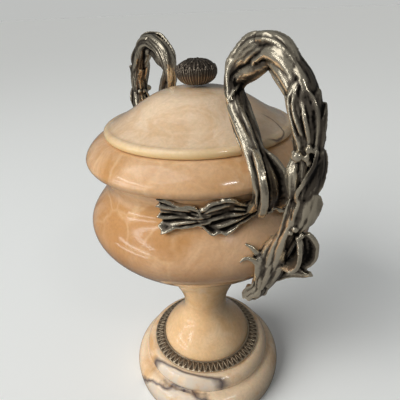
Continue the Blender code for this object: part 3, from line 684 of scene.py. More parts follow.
route = [
    (neck_radius + 0.0093, -0.001, neck_height + 0.0055),
    (rim_radius + 0.0006, -0.0065, neck_height + 0.0145),
    (rim_radius + 0.0066, -0.0125, rim_nose + 0.003),
    (rim_radius + 0.0012, -0.0140, rim_top - 0.0005),
    (lean + 0.0325, -0.0135, rim_top + 0.0095),
    (lean + 0.0215, -0.0120, arch - 0.0520),
    (lean + 0.0094, -0.0090, arch - 0.0418),
    (lean + 0.0015, -0.0070, arch - 0.0313),
    (lean, -0.0050, arch - 0.0193),
    (lean + 0.0050, -0.0030, arch - 0.0098),
    (lean + 0.0155, -0.0020, arch - 0.0038),
    (0.5 * (lean + reach) - 0.0074, -0.0010, arch),
    (reach - 0.0298, 0.0, arch - 0.0033),
    (reach - 0.0213, 0.0, arch - 0.0108),
    (reach - 0.0130, 0.0, arch - 0.0208),
    (reach - 0.0060, 0.0, arch - 0.0323),
    (reach - 0.0016, 0.0, arch - 0.0443),
    (reach, 0.0, arch - 0.0578),
    (reach - 0.0008, 0.0, rim_top + 0.0017),
    (reach - 0.0016, 0.0, rim_nose + 0.003),
    (reach - 0.0028, 0.0, neck_height + 0.012),
    (reach - 0.0068, 0.0, neck_height - 0.004),
    (belly_radius + 0.0135, -0.0010, belly_height + 0.0170),
    (belly_radius + 0.0050, -0.0020, belly_height - 0.0005),
    (belly_radius - 0.0005, -0.0045, belly_height - 0.0155),
    (belly_radius - 0.0045, -0.0075, belly_height - 0.0295),
    (belly_radius - 0.0110, -0.0100, belly_height - 0.0400),
    (belly_radius - 0.0160, -0.0120, belly_height - 0.0470),
]


def smooth_line(points, per_span):
    """Points on a smooth curve through the given ones."""
    points = [Vector(point) for point in points]
    ends = [2 * points[0] - points[1], *points, 2 * points[-1] - points[-2]]
    line = []
    for i in range(1, len(ends) - 2):
        a, b, c, d = ends[i - 1 : i + 3]
        for step in range(per_span):
            t = step / per_span
            line.append(0.5 * (
                2 * b + (c - a) * t + (2 * a - 5 * b + 4 * c - d) * t**2 + (3 * b - 3 * c + d - a) * t**3
            ))
    line.append(points[-1].copy())
    return line


branch_line = smooth_line(route, 8)
branch_miles = [0.0]
for a, b in zip(branch_line, branch_line[1:]):
    branch_miles.append(branch_miles[-1] + (b - a).length)


def branch_frame(distance):
    """Point, outward and side directions on the branch, by the distance from its foot in the neck."""
    held = min(max(distance, 0.0), branch_miles[-1] - 0.0001)
    k = int(np.searchsorted(branch_miles, held, side="right")) - 1
    k = min(max(k, 0), len(branch_line) - 2)
    share = (held - branch_miles[k]) / (branch_miles[k + 1] - branch_miles[k])
    point = branch_line[k].lerp(branch_line[k + 1], share)
    before = branch_line[max(k - 4, 0)]
    after = branch_line[min(k + 5, len(branch_line) - 1)]
    tangent = (after - before).normalized()
    outward = Vector((0.0, -1.0, 0.0)).cross(tangent).normalized()
    return point + tangent * (distance - held), outward, tangent.cross(outward).normalized()


def away(distance, angle):
    """Direction off the branch: 0 degrees is out of the loop, 90 is to the side at -Y."""
    _, outward, side = branch_frame(distance)
    turn = math.radians(angle)
    return (outward * math.cos(turn) + side * math.sin(turn)).normalized()


def beside(distance, angle, offset):
    """A point off the branch."""
    return branch_frame(distance)[0] + away(distance, angle) * offset


def mix(values, t):
    """A value read along a list at t from 0 to 1."""
    place = min(max(t, 0.0), 1.0) * (len(values) - 1)
    k = min(int(place), len(values) - 2)
    return values[k] + (values[k + 1] - values[k]) * (place - k)


casting = bmesh.new()


def cast(shape):
    """Adds a closed shape to the casting's pattern."""
    bmesh.ops.recalc_face_normals(shape, faces=shape.faces)
    held = bpy.data.meshes.new("pattern")
    shape.to_mesh(held)
    shape.free()
    casting.from_mesh(held)
    bpy.data.meshes.remove(held)


def pour(voxel):
    """Fuses everything in the casting's pattern into one skin, its faces about a voxel across."""
    pattern = bpy.data.meshes.new("pattern")
    casting.to_mesh(pattern)
    casting.free()
    mould = add_object("mould", pattern)
    fuse = mould.modifiers.new("fuse", "REMESH")
    fuse.mode = "VOXEL"
    fuse.voxel_size = voxel
    bpy.context.view_layer.update()
    skin = bpy.data.meshes.new_from_object(mould.evaluated_get(bpy.context.evaluated_depsgraph_get()))
    bpy.data.objects.remove(mould)
    bpy.data.meshes.remove(pattern)
    return skin


def thicken(shape, thickness):
    """Gives an open sheet its wall, on the side away from its normals."""
    shape.normal_update()
    grown = bmesh.ops.extrude_face_region(shape, geom=shape.faces[:], use_keep_orig=True)
    for vertex in grown["geom"]:
        if isinstance(vertex, bmesh.types.BMVert):
            vertex.co -= vertex.normal * thickness


def add_rod(points, radii, ridges=0, depth=0.0, twist=0.0, sides=18):
    """A round rod through points, its skin fluted by twisting ridges."""
    shape = bmesh.new()
    rows = len(points) - 1
    bmesh.ops.create_grid(shape, x_segments=sides, y_segments=rows, size=0.5)
    for vertex in shape.verts:
        turn = (vertex.co.x + 0.5) * math.tau
        t = vertex.co.y + 0.5
        k = min(max(round(t * rows), 0), rows)
        tangent = (points[min(k + 1, rows)] - points[max(k - 1, 0)]).normalized()
        across = tangent.cross(Vector((0.31, 0.95, 0.05))).normalized()
        other = tangent.cross(across)
        radius = mix(radii, t) * (1 + depth * math.cos(ridges * turn + twist * math.tau * t))
        vertex.co = points[k] + (across * math.cos(turn) + other * math.sin(turn)) * radius
    bmesh.ops.remove_doubles(shape, verts=shape.verts, dist=0.00002)
    bmesh.ops.holes_fill(shape, edges=[edge for edge in shape.edges if edge.is_boundary], sides=0)
    cast(shape)


def along_branch(places, steps):
    """Points on a smooth line through (distance, angle, offset) places, in mm, that keeps to the branch."""
    corners = smooth_line(places, 12)
    points = []
    for i in range(steps + 1):
        k = i / steps * (len(corners) - 1)
        j = min(int(k), len(corners) - 2)
        distance, angle, offset = corners[j].lerp(corners[j + 1], k - j)
        points.append(beside(distance / 1000, angle, offset / 1000))
    return points


def add_strand(places, radii, ridges=4, depth=0.09, twist=0.5):
    """A strand through (distance, angle, offset) places along the branch, in mm, with its radii."""
    steps = max(10, round(abs(places[-1][0] - places[0][0]) / 1.6))
    add_rod(along_branch(places, steps), [radius / 1000 for radius in radii], ridges, depth, twist)


def add_leaf(places, widths, faces=None, thick=1.0, ribs=3, rib_depth=0.5, curl=0.0, curl_more=0.0,
             cup=0.0, ragged=0.0):
    """A leaf through (distance, angle, offset) places along the branch, in mm, with its widths.

    Faces are the angles that its blade looks to, and cup hollows it. Ribs run along it, and curl lifts
    its two edges, with curl_more on the one that lies to the side of greater angles.
    """
    shape = bmesh.new()
    rows = max(16, (len(places) - 1) * 9)
    bmesh.ops.create_grid(shape, x_segments=20, y_segments=rows, size=0.5)
    distances = [place[0] / 1000 for place in places]
    angles = [place[1] for place in places] if faces is None else faces
    spine = []
    for i, point in enumerate(along_branch(places, rows)):
        spine.append((point, away(mix(distances, i / rows), mix(angles, i / rows))))
    for vertex in shape.verts:
        u = vertex.co.x * 2
        t = vertex.co.y + 0.5
        k = min(max(round(t * rows), 0), rows)
        point, normal = spine[k]
        tangent = (spine[min(k + 1, rows)][0] - spine[max(k - 1, 0)][0]).normalized()
        across = tangent.cross(normal).normalized()
        up = across.cross(tangent).normalized()
        half = 0.5 * mix(widths, t) / 1000 * (1 + ragged * math.sin(19 * t + 3 * (u > 0)) * abs(u))
        greater = u * across.dot(away(mix(distances, t), mix(angles, t) + 90)) > 0
        bend = (cup - 0.42) * u * u
        lift = (curl + (curl_more if greater else 0.0)) * abs(u) ** 4
        relief = rib_depth * (math.cos(ribs * math.pi * u) - 1.3 * math.exp(-((u / 0.14) ** 2))) / 1000
        vertex.co = point + across * (u * half) + up * ((bend + lift) * half + relief * (1 - 0.5 * t))
    thicken(shape, leaf_thickness * thick)
    cast(shape)


def add_berry(distance, angle, offset, radius):
    """A berry with a dimpled eye, its place and size in mm."""
    shape = bmesh.new()
    centre = beside(distance / 1000, angle, offset / 1000)
    look = away(distance / 1000, angle)
    bmesh.ops.create_icosphere(shape, subdivisions=3, radius=radius / 1000)
    for vertex in shape.verts:
        eye = vertex.co.normalized().dot(look)
        vertex.co *= 1 - 0.16 * math.exp(-((1 - eye) / 0.05)) - 0.10 * max(eye, 0.0) ** 3
        vertex.co += centre
    cast(shape)


def bowl_radius(height):
    """The bowl's outside radius at a height."""
    heights = [point[1] for point in reversed(bowl_outside)]
    radii = [point[0] for point in reversed(bowl_outside)]
    return float(np.interp(height, heights, radii))


def held_back(value, limit, softness):
    """The value, bent as it nears the limit so that it never passes it."""
    over = value - (limit - softness)
    return value if over <= 0 else value - over + softness * (1 - math.exp(-over / softness))


def on_bowl(turn, height, gap):
    """A point a gap off the bowl's outside."""
    radius = bowl_radius(height) + gap
    return Vector((radius * math.cos(turn), radius * math.sin(turn), height))


# The inner branch: a fluted core, a pale strand up its front and a heavier one behind
add_strand([(0, 0, 0), (115, 0, 0)], (6.2, 6.4, 6.6, 6.6), 7, 0.06, 1.4)
add_strand([(90, 108, 6.0), (70, 116, 5.6), (59, 123, 5.2), (49, 115, 5.0), (40, 103, 5.0), (29, 80, 5.0),
            (14, 70, 5.0)], (3.0, 3.7, 3.9, 4.0, 4.2, 4.4, 4.6), 3, 0.10, 0.6)
add_strand([(104, -110, 3.5), (88, -126, 4.6), (70, -127, 4.4), (55, -145, 3.6), (42, -160, 3.2)],
           (4.5, 5.4, 5.2, 4.8, 4.4), 3, 0.05, 0.3)
add_strand([(20, 20, 4.0), (60, 0, 4.0), (110, -40, 4.0)], (3.4, 3.4, 3.6))
add_strand([(100, 165, 5.4), (75, 170, 5.6), (50, 165, 5.4), (36, 160, 5.0)], (2.0, 2.5, 2.6, 2.4))
add_strand([(96, 30, 5.0), (70, 50, 5.4), (44, 30, 5.0)], (2.4, 2.8, 2.4))
# The hoof at its foot: a heavy leaf folded round a dark hollow, with a thin bright rim
add_strand([(46, -165, 3.6), (30, -155, 5.0), (10, -165, 4.6)], (4.4, 5.6, 4.2), 2, 0.05, 0.2)
add_leaf([(54, 192, 5.6), (44, 188, 8.0), (33, 184, 9.4), (21, 180, 9.6), (9, 178, 8.4)],
         (2, 11, 18, 20, 13), None, 2.0, 2, 0.7, 0.45, 0.0, 0.5)
add_strand([(30, 104, 8.0), (22, 106, 9.6), (15, 125, 10.2), (10, 152, 10.2), (7, 184, 9.4)],
           (0.8, 1.5, 1.7, 1.5, 0.8), 2, 0.0)
# The arch: a core with a swelling under it, then smooth strands that run from the crown down its front
add_strand([(100, 0, 0), (232, 0, 0)], (6.6, 7.2, 7.4, 7.4, 7.0), 6, 0.06, 1.6)
add_strand([(104, 188, 5.0), (114, 182, 9.0), (126, 176, 11.4), (138, 172, 12.0), (150, 170, 11.0),
            (163, 164, 7.0)], (4.4, 6.2, 6.8, 6.2, 5.2, 3.6), 3, 0.05)
add_strand([(149, 152, 5.0), (158, 105, 6.4), (166, 78, 6.8), (175, 58, 6.2), (187, 48, 5.0), (202, 52, 4.0)],
           (2.2, 4.2, 4.7, 4.3, 3.4, 2.2), 2, 0.06, 0.4)
add_strand([(146, 190, 5.0), (160, 150, 6.4), (172, 118, 6.4), (183, 98, 6.0), (193, 95, 5.6),
            (208, 100, 5.0)], (2.6, 3.7, 3.9, 3.7, 3.0, 2.0), 2, 0.06, 0.4)
add_strand([(146, 200, 5.0), (154, 190, 8.6), (163, 178, 10.4), (173, 168, 9.6), (185, 160, 8.0),
            (200, 150, 6.0)], (2.4, 3.6, 3.8, 3.4, 2.8, 2.0), 2, 0.05)
add_strand([(130, -120, 5.4), (160, -125, 5.8), (200, -130, 5.4), (232, -130, 4.6)], (2.6, 3.4, 3.2, 2.6))
add_strand([(148, -60, 5.4), (176, -50, 5.6), (206, -45, 5.0)], (2.6, 3.4, 2.6))
# Bark-like leaf draped over the inner shoulder, its long tip free beside the inner branch
add_leaf([(157, 60, 8.6), (149, 84, 9.4), (140, 99, 9.6), (130, 119, 9.7), (116, 138, 9.6), (102, 138, 9.6),
          (92, 124, 9.8)], (15, 19, 19, 18, 15, 8, 2.0), None, 0.9, 5, 0.42, 0.16, 0.30, 0.0, 0.04)
add_leaf([(102, 152, 8.0), (86, 152, 8.4), (68, 160, 7.4)], (15, 12, 2.5), None, 1.0, 3, 0.4, 0.1)
add_strand([(140, 56, 8.2), (131, 76, 8.6), (122, 98, 8.8), (112, 116, 9.0), (101, 124, 9.2), (90, 116, 9.2)],
           (1.0, 1.6, 1.8, 1.8, 1.4, 0.6), 2, 0.05)
add_leaf([(144, -60, 7.0), (121, -70, 7.6), (96, -80, 7.2)], (9, 13, 5), None, 1.0, 4, 0.4, 0.15)
# Cap leaf over the crown, and the dark leaves on the outer shoulder
add_leaf([(149, 46, 10.4), (154, 38, 11.2), (160, 24, 10.6), (167, 14, 10.4), (174, 6, 9.6), (184, 2, 7.4)],
         (7, 9, 10, 10, 9, 4), None, 1.7, 2, 0.45, 0.05, 0.22)
add_leaf([(171, 8, 8.2), (181, -10, 9.4), (188, -14, 10.0), (196, -6, 9.8), (207, 10, 8.2)],
         (9, 15, 17, 15, 7), None, 1.0, 3, 0.45, 0.1)
add_leaf([(168, -75, 8.0), (190, -80, 9.2), (214, -70, 8.2)], (8, 16, 6), None, 1.0, 3, 0.5, 0.12)
# The outer branch above the berries: leaves that point up it, two of them with tips that stand clear
add_strand([(222, 0, 0), (300, 0, 0)], (7.0, 6.4, 5.8, 5.6), 6, 0.08, 0.8)
add_leaf([(227, 60, 8.2), (214, 72, 9.6), (203, 76, 10.2), (195, 68, 10.2), (187, 37, 8.6)],
         (6, 9, 10, 8, 1.6), None, 1.0, 2, 0.4, 0.12, 0.4)
add_leaf([(225, 28, 8.4), (214, 28, 9.8), (205, 27, 10.2), (198, 28, 9.8), (189, 26, 8.6)],
         (6, 9, 10, 8, 1.6), None, 1.0, 2, 0.4, 0.2, 0.1)
add_leaf([(229, 104, 8.2), (220, 110, 9.6), (211, 130, 10.2), (199, 132, 10.6), (190, 133, 9.6)],
         (7, 9, 9, 7, 1.5), None, 1.0, 2, 0.4, 0.15, 0.2)
add_leaf([(230, 24, 8.0), (214, 14, 9.6), (204, 2, 10.6), (195, -30, 11.4)],
         (6, 9, 9, 4), None, 1.0, 2, 0.4, 0.15)
add_leaf([(234, -14, 8.2), (221, -14, 10.0), (212, -20, 11.2), (202, -46, 12.6)],
         (6, 9, 8, 1.6), None, 0.9, 2, 0.4, 0.15)
for root, tip in ((165, 170), (190, 196), (-95, -85), (228, 234), (-55, -60)):
    add_leaf([(233, root, 7.6), (216, 0.5 * (root + tip), 9.4), (198, tip, 8.6)],
             (8, 10.5, 1.8), None, 1.0, 2, 0.4, 0.15)
add_strand([(197, 50, 9.6), (206, 53, 10.6), (214, 51, 10.6), (220, 47, 9.0)], (0.5, 1.3, 1.3, 0.7), 2, 0.0)
add_strand([(187, 42, 8.6), (193, 66, 10.0), (200, 84, 10.4), (207, 84, 10.4), (216, 72, 10.0)],
           (0.5, 1.2, 1.3, 1.2, 0.7), 2, 0.0)
add_strand([(190, 26, 8.6), (200, 14, 10.4), (212, 12, 10.6), (226, 20, 9.0)], (0.5, 1.2, 1.3, 0.8), 2, 0.0)
# Berries where the leaves spring, and a few smaller ones over the roots
for place in (
    (228, 80, 11.9, 3.5), (224, 46, 9.6, 2.5), (225, 19, 9.4, 2.5), (229, 52, 9.2, 2.4),
    (232, 38, 9.2, 2.0), (228, -14, 9.4, 2.1), (229, 125, 8.6, 2.3), (229, 165, 8.4, 2.3),
    (229, 205, 8.4, 2.3), (280, 49, 8.6, 2.0),
    (285, 10, 8.8, 1.9), (287, 24, 9.0, 2.0), (292, -28, 9.4, 1.8), (284, 64, 8.6, 1.8),
):
    add_berry(*place)
# Below them: a broad leaf across the front with its edge folded over, and others behind
add_strand([(226, -30, 4.6), (240, -20, 6.0), (253, 10, 4.8)], (5.0, 6.0, 4.4), 2, 0.05)
add_leaf([(226, -20, 9.8), (236, -14, 11.8), (245, 4, 11.8), (253, 26, 9.8), (261, 45, 7.4)],
         (11, 18, 20, 15, 5), None, 1.2, 2, 0.7, 0.1, 0.5, 0.1)
add_strand([(230, -18, 10.2), (234, 20, 11.0), (240, 39, 11.2), (249, 49, 10.2), (260, 52, 7.4)],
           (1.0, 1.6, 1.9, 1.7, 1.0), 2, 0.0)
add_leaf([(264, -70, 6.0), (248, -80, 9.4), (230, -90, 8.6)], (6, 16, 9), None, 1.0, 3, 0.5, 0.15)
add_leaf([(266, 190, 5.6), (248, 193, 8.8), (231, 195, 8.4)], (6, 14, 8), None, 1.0, 3, 0.5, 0.15)
# A ribbon down the side that narrows, turns and widens again
add_leaf([(228, 140, 8.4), (238, 120, 10.4), (245, 112, 10.8), (254, 108, 9.2), (262, 104, 6.8)],
         (2, 8, 10.5, 8, 4), (85, 78, 72, 70, 75), 1.1, 3, 0.4, 0.35, -0.3)
add_leaf([(257, 100, 6.8), (269, 100, 8.8), (280, 98, 9.2), (293, 95, 9.0), (307, 88, 8.0)],
         (4, 8, 9, 9, 4), (62, 66, 70, 75, 80), 1.1, 3, 0.4, 0.35, -0.2)
add_strand([(256, 85, 3.0), (275, 80, 4.6), (302, 90, 4.6)], (4.0, 4.6, 4.4), 3, 0.06)
# Spoon leaf that stands off the outer side, thick in its rim and creased down its middle
add_leaf([(284, 30, 6.6), (277, 22, 8.8), (268, 14, 10.6), (260, 4, 11.6), (254, -4, 11.4)],
         (6, 15, 19, 19, 10), (34, 34), 1.8, 1, 1.3, 0.0, 0.35, 0.05)
# Cupped leaf above the roots with a bright rim, one behind it, and a pointed leaf that leaves outwards
add_leaf([(286, -6, 8.0), (294, -14, 12.4), (303, -14, 14.2), (311, -8, 12.4), (317, 4, 9.2)],
         (5, 13, 16, 15, 6), (4, 4), 1.4, 1, 0.6, 0.4, 0.2, 0.9)
add_strand([(285, 22, 9.0), (290, 8, 11.0), (298, -4, 12.6), (306, 4, 13.0), (312, 18, 12.0), (314, 36, 9.6)],
           (0.5, 1.4, 1.8, 1.8, 1.4, 0.6), 2, 0.0)
add_leaf([(290, -70, 7.6), (312, -85, 10.8), (331, -95, 8.6)], (6, 15, 6), None, 1.0, 2, 0.5, 0.2)
add_leaf([(340, -10, 7.6), (327, -16, 14.0), (319, -18, 21.0), (313, -16, 26.5)],
         (7, 9, 8, 1.6), (60, 60), 1.3, 2, 0.5, 0.1)
# Roots: a core and strands bunched side by side over it
add_strand([(286, 0, 0), (374, 0, 0)], (5.6, 6.2, 6.4, 5.2, 3.6), 6, 0.1, 0.6)
for places in (
    [(298, 150, 7.6), (314, 160, 10.6), (326, 146, 11.0), (340, 110, 8.4), (354, 84, 5.4)],
    [(292, 128, 8.2), (306, 132, 10.4), (320, 122, 10.6), (334, 92, 8.8), (354, 60, 5.6)],
    [(287, 108, 7.6), (302, 106, 9.0), (317, 88, 9.2), (334, 56, 8.2), (354, 40, 5.6)],
    [(279, 86, 7.6), (293, 83, 8.8), (309, 67, 8.8), (326, 42, 8.0), (350, 17, 5.6)],
    [(302, 56, 7.4), (316, 40, 8.4), (332, 16, 8.0), (352, -8, 5.6)],
    [(316, 10, 7.0), (334, -12, 7.4), (356, -30, 5.4)],
    [(300, -60, 6.6), (330, -55, 7.0), (360, -65, 5.0)],
    [(296, -110, 6.4), (328, -104, 7.0), (356, -112, 5.0)],
    [(298, 186, 6.0), (326, 194, 6.6), (352, 186, 5.0)],
):
    add_strand(places, (1.7, 2.7, 3.0, 2.6, 1.6), 2, 0.08, 0.4)
for spots, gap, radii in (
    (((2.0, 16.0), (-4.8, 10.2), (-7.7, 2.8), (-7.4, -10.2), (-5.5, -24.0)), 3.0, (2.2, 2.8, 2.9, 2.6, 2.0)),
    (((3.4, 15.0), (-3.1, 9.0), (-5.9, 1.3), (-5.2, -13.0), (-4.6, -26.0)), 5.2, (2.2, 2.8, 2.9, 2.6, 2.0)),
    (((4.4, 12.5), (-1.4, 7.5), (-4.2, -0.5), (-3.4, -15.0), (-4.0, -27.0)), 7.2, (2.2, 2.7, 2.8, 2.5, 2.0)),
    (((-3.0, 2.0), (-7.0, 7.6), (-9.5, 13.4), (-12.0, 16.6)), 2.2, (2.9, 2.8, 2.3, 1.2)),
    (((-4.0, -3.0), (-7.4, 0.4), (-10.0, 5.4), (-12.9, 7.6), (-15.8, 5.2)), 2.0, (2.8, 2.7, 2.3, 1.8, 0.8)),
    (((7.0, 10.0), (9.5, 4.0), (9.0, -9.0), (6.0, -22.0)), 3.0, (2.2, 2.8, 2.6, 2.0)),
    (((3.0, 4.0), (7.0, 8.5), (9.5, 13.0), (11.5, 16.0)), 2.2, (2.6, 2.5, 2.1, 1.0)),
    (((5.0, -6.0), (9.0, -2.0), (12.5, -1.0), (15.0, -4.0)), 2.0, (2.5, 2.3, 1.9, 0.8)),
):
    corners = [on_bowl(math.radians(turn), belly_height + rise / 1000, gap / 1000) for turn, rise in spots]
    add_rod(smooth_line(corners, 8), [radius / 1000 for radius in radii], 3, 0.10, 0.5, 14)
# The tail: torn leaf ends to both sides
add_leaf([(342, 66, 5.0), (356, 84, 7.0), (368, 100, 7.4), (376, 112, 7.2)],
         (8, 12, 13, 6), None, 1.3, 3, 0.6, 0.2, 0.0, 0.0, 0.14)
add_leaf([(342, -60, 5.0), (358, -75, 6.6), (373, -88, 6.6)],
         (8, 13, 6), None, 1.3, 3, 0.6, 0.2, 0.0, 0.0, 0.14)
add_leaf([(346, 10, 4.6), (359, 16, 6.0), (371, 22, 6.0)], (8, 11, 5), None, 1.2, 3, 0.5, 0.2, 0.0, 0.0, 0.14)
# The inner branch forks over the neck into a leaf spray each way
foot_point = branch_frame(0.0)[0]
add_rod(smooth_line([branch_frame(0.012)[0], foot_point, on_bowl(0.0, neck_height + 0.001, 0.004)], 8),
        (0.72 * branch_radius, 0.80 * branch_radius, 0.55 * branch_radius), 5, 0.08, 0.3)
spray_arc = math.radians(47)
spray_height = 0.0265
spray_thickness = 0.0034
spray_overlap = math.radians(3)


def add_spray_leaf(way, first, last, widths, lobes, drop):
    """One leaf of the spray, its veins fanned out and its lower edge lobed, as wide as widths along it."""
    shape = bmesh.new()
    columns = 44
    bmesh.ops.create_grid(shape, x_segments=26, y_segments=columns, size=0.5)
    length = (last - first) * neck_radius
    for vertex in shape.verts:
        u = vertex.co.x * 2
        t = vertex.co.y + 0.5
        half = 0.5 * mix(widths, t)
        lobe = abs(math.sin(math.pi * lobes * t))
        half *= 1 + (0.16 * lobe - 0.08) * min(abs(u) * 1.4, 1.0) * (1.0 if u < 0 else 0.45)
        slant = math.atan2(u * half, 0.003 + t * length)
        veins = math.cos(26 * slant + 1.5 * math.sin(9 * t))
        fold = 0.0008 * veins * min(1.0, 3 * t) + 0.0007 * math.cos(5 * math.pi * u + 2 * t)
        edge = 0.0010 * abs(u) ** 4 * (1 + lobe)
        turn = way * (first + (last - first) * t)
        up = u * half
        lean_out = 0.0022 * (abs(up) / (0.5 * spray_height)) ** 2
        radius = neck_radius + 0.0062 + lean_out + fold + edge + 0.0008 * math.sin(7 * t + 4 * u)
        ragged = 0.0016 * math.sin(11 * u + 2) * t**6
        vertex.co = Vector((
            radius * math.cos(turn), radius * math.sin(turn), neck_height + 0.0015 + up - drop * t,
        )) + Vector((-math.sin(turn), math.cos(turn), 0.0)) * way * ragged
    bmesh.ops.recalc_face_normals(shape, faces=shape.faces)
    thicken(shape, spray_thickness)
    cast(shape)


for way in (-1, 1):
    fork = on_bowl(way * math.radians(7.5), neck_height + 0.003, 0.006)
    high = beside(0.026, -100 * way, 0.35 * branch_radius)
    elbow = 0.5 * (high + fork) + Vector((0.002, 0.0, 0.0))
    add_rod(smooth_line([high, elbow, fork], 10),
            (0.36 * branch_radius, 0.42 * branch_radius, 0.44 * branch_radius), 4, 0.1, 0.5)
    add_spray_leaf(way, math.radians(3.5), 0.66 * spray_arc, (0.008, 0.014, 0.023, 0.029, 0.024, 0.012), 3.0,
                   0.002)
    add_spray_leaf(way, 0.56 * spray_arc, spray_arc + spray_overlap,
                   (0.011, 0.012, 0.017, 0.023, 0.027), 1.5, 0.0)

fused = pour(casting_voxel)

# The chased surface: fine flow lines and casting grain pressed into the fused skin, and the back of the
# casting dressed to the bowl so that it clears the stone
whole = bmesh.new()
whole.from_mesh(fused)
bmesh.ops.smooth_vert(
    whole, verts=whole.verts, factor=0.5, use_axis_x=True, use_axis_y=True, use_axis_z=True
)
whole.normal_update()
frames = [branch_frame(mile) for mile in branch_miles]
line_points = np.array([frame_at[0] for frame_at in frames])
line_outward = np.array([frame_at[1] for frame_at in frames])
line_side = np.array([frame_at[2] for frame_at in frames])
places = np.array([vertex.co for vertex in whole.verts])
nearest = np.concatenate([
    ((some[:, None, :] - line_points) ** 2).sum(axis=2).argmin(axis=1) for some in np.array_split(places, 60)
])
from_line = places - line_points[nearest]
around = np.arctan2(
    (from_line * line_side[nearest]).sum(axis=1), (from_line * line_outward[nearest]).sum(axis=1)
)
miles = np.array(branch_miles)[nearest]
for vertex, turn, mile in zip(whole.verts, around, miles):
    x, y = math.cos(turn), math.sin(turn)
    flow = noise.noise(Vector((3.4 * x, 3.4 * y, 42.0 * mile)))
    fine_flow = noise.noise(Vector((8.5 * x, 8.5 * y, 100.0 * mile + 7.0)))
    grain = noise.noise(vertex.co * 620.0)
    vertex.co += vertex.normal * (flow_depth * flow + fine_flow_depth * fine_flow + grain_depth * grain)
for vertex in whole.verts:
    vertex.co.x = held_back(vertex.co.x, handle_high[0], soft_edge)
    vertex.co.z = held_back(vertex.co.z, handle_high[2], soft_top)
for vertex in whole.verts:
    x, y, z = vertex.co
    if bowl_base < z < rim_top:
        radius = math.hypot(x, y)
        least = bowl_radius(z) + stand_off
        if radius < least:
            vertex.co.x *= least / radius
            vertex.co.y *= least / radius
whole.to_mesh(fused)
whole.free()
# Painted highlights (gain above 0) and painted shade (gain below 0), as spots of (distance, angle, offset,
# width, gain), in mm
spots = []
for distance, angle, offset, width, gain in (
    (166, 78, 8.0, 8, 0.34), (178, 58, 8.0, 8, 0.28), (172, 118, 8.0, 7, 0.30), (187, 98, 8.0, 7, 0.30),
    (131, 118, 10.0, 13, 0.40), (146, 88, 10.0, 8, 0.20), (142, 165, 9.0, 7, -0.45),
    (128, 176, 14.0, 10, -0.45), (158, 26, 11.0, 6, 0.14), (184, -12, 10.0, 12, -0.30),
    (204, -20, 10.0, 10, -0.30), (204, 76, 10.4, 7, 0.10), (227, 78, 12.0, 5, 0.60), (223, 50, 11.0, 3, 0.25),
    (238, -10, 12.0, 11, -0.35), (268, 14, 12.0, 11, 0.48), (256, -6, 12.0, 4, 0.25),
    (272, 18, 11.0, 3, -0.45), (266, -40, 15.0, 5, -0.30), (270, 62, 8.0, 5, -0.40), (284, 40, 9.0, 5, -0.30),
    (244, 112, 11.0, 8, 0.24), (280, 96, 10.0, 9, 0.24), (302, -14, 11.0, 8, -0.45), (300, 80, 9.0, 10, 0.30),
    (318, 100, 10.0, 12, 0.30), (344, 60, 8.0, 12, 0.30), (366, 90, 7.0, 10, 0.32), (60, 120, 8.0, 8, 0.24),
    (88, 110, 9.0, 8, 0.18), (40, 104, 9.0, 8, 0.20), (64, -127, 9.0, 11, -0.30), (92, -126, 9.0, 10, -0.35),
    (16, 150, 8.0, 6, -0.45), (30, 178, 10.0, 6, -0.20),
):
    spots.append((beside(distance / 1000, angle, offset / 1000), width / 1000, gain))
# The second, broad scale paints shade into the casting's deep hollows, over the patina of the first.
paint_wear_and_light(fused, [(5, 1500.0), (36, 380.0)], spots)

# Near-black hollows take patina and painted shade; the pale gold takes worn ridges and painted highlights.
handle_bronze = aged_bronze(
    "handle_bronze", (0.010, 0.008, 0.006), (0.20, 0.165, 0.128), (0.86, 0.75, 0.57), 0.60, 0.98, 0.92,
    0.00012,
)
left_set = 0.93
for name, node, turn, height_share in (
    ("urn_handle_right", "handle_right", 0.0, 1.0),
    ("urn_handle_left", "handle_left", math.pi, left_set),
):
    mesh = fused.copy()
    mesh.name = name
    for vertex in mesh.vertices:
        vertex.co.z -= (1 - height_share) * max(vertex.co.z - rim_top, 0.0)
    mesh.transform(Matrix.Rotation(turn, 4, "Z"))
    mesh.materials.clear()
    mesh.materials.append(handle_bronze)
    mesh.shade_smooth()
    handle = add_object(name, mesh)
    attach(handle, "root")
    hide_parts(node)
bpy.data.meshes.remove(fused)


# Knob
# A small bronze artichoke screwed to the lid's crown. Tall ribbed scales stand round its side, and
# shorter rounded ones close over the top in rows.

knob_low, knob_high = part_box("knob")
knob_radius = knob_high[0]
knob_height = knob_high[2] - knob_low[2]
knob_middle = 0.5 * (knob_high[2] + knob_low[2])
knob_voxel = 0.0004
scale_thickness = 0.0016
casting = bmesh.new()


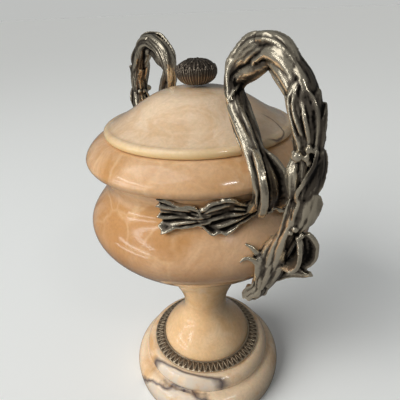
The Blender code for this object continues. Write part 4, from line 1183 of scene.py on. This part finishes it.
def on_knob(turn, rise, gap):
    """A point on the knob's rounded body: rise runs from -1 at its foot to 1 on the crown."""
    head_room = 0.0024 if rise > 0 else 0.0014
    swell = math.cos(rise * math.pi / 2) ** (0.92 if rise > 0 else 0.7) if abs(rise) < 1 else 0.0
    radius = (knob_radius - 0.0018) * swell + gap * math.cos(rise * math.pi / 2)
    height = knob_middle + (0.5 * knob_height - head_room) * math.sin(rise * math.pi / 2)
    return Vector((
        radius * math.cos(turn), radius * math.sin(turn), height + gap * math.sin(rise * math.pi / 2)
    ))


body = bmesh.new()
bmesh.ops.create_uvsphere(body, u_segments=48, v_segments=32, radius=1.0)
for vertex in body.verts:
    turn = math.atan2(vertex.co.y, vertex.co.x)
    rise = math.asin(min(max(vertex.co.z, -1.0), 1.0)) / (math.pi / 2)
    vertex.co = on_knob(turn, rise * 0.985, -0.0008)
cast(body)
for row_start, row_end, count, shift, proud, flare in (
    (-0.95, 0.34, 15, 0.0, 0.0004, 0.0010), (-0.90, 0.26, 15, 0.5, -0.0002, 0.0010),
    (0.02, 0.46, 12, 0.25, 0.0002, 0.0002), (0.24, 0.62, 10, 0.0, 0.0004, 0.0),
    (0.44, 0.76, 8, 0.5, 0.0006, -0.0002), (0.60, 0.90, 6, 0.2, 0.0008, -0.0004),
    (0.74, 0.99, 4, 0.5, 0.0010, -0.0006),
):
    for i in range(count):
        middle = math.tau * (i + shift) / count
        shape = bmesh.new()
        bmesh.ops.create_grid(shape, x_segments=8, y_segments=14, size=0.5)
        for vertex in shape.verts:
            u = vertex.co.x * 2
            t = vertex.co.y + 0.5
            blade = min(1.0, (1.04 - t) * 3.2) ** 0.5
            turn = middle + 0.47 * math.tau / count * u * blade
            rise = row_start + (row_end - row_start) * t - 0.05 * u * u * t
            rib = 0.0004 * math.cos(3 * math.pi * u) - 0.0006 * u * u + flare * t * t
            vertex.co = on_knob(turn, rise, proud + rib)
        thicken(shape, scale_thickness)
        cast(shape)
knob_mesh = pour(knob_voxel)
knob_mesh.name = "urn_knob"
for vertex in knob_mesh.vertices:
    vertex.co.z = min(max(vertex.co.z, knob_low[2]), knob_high[2])
paint_wear_and_light(knob_mesh, [(8, 2400.0)])
knob_mesh.materials.clear()
knob_mesh.materials.append(aged_bronze(
    "knob_bronze", (0.014, 0.010, 0.008), (0.095, 0.072, 0.055), (0.44, 0.36, 0.27), 0.62, 1.0, 0.85, 0.0001
))
knob_mesh.shade_smooth()
knob = add_object("urn_knob", knob_mesh)
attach(knob, "root")
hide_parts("knob")
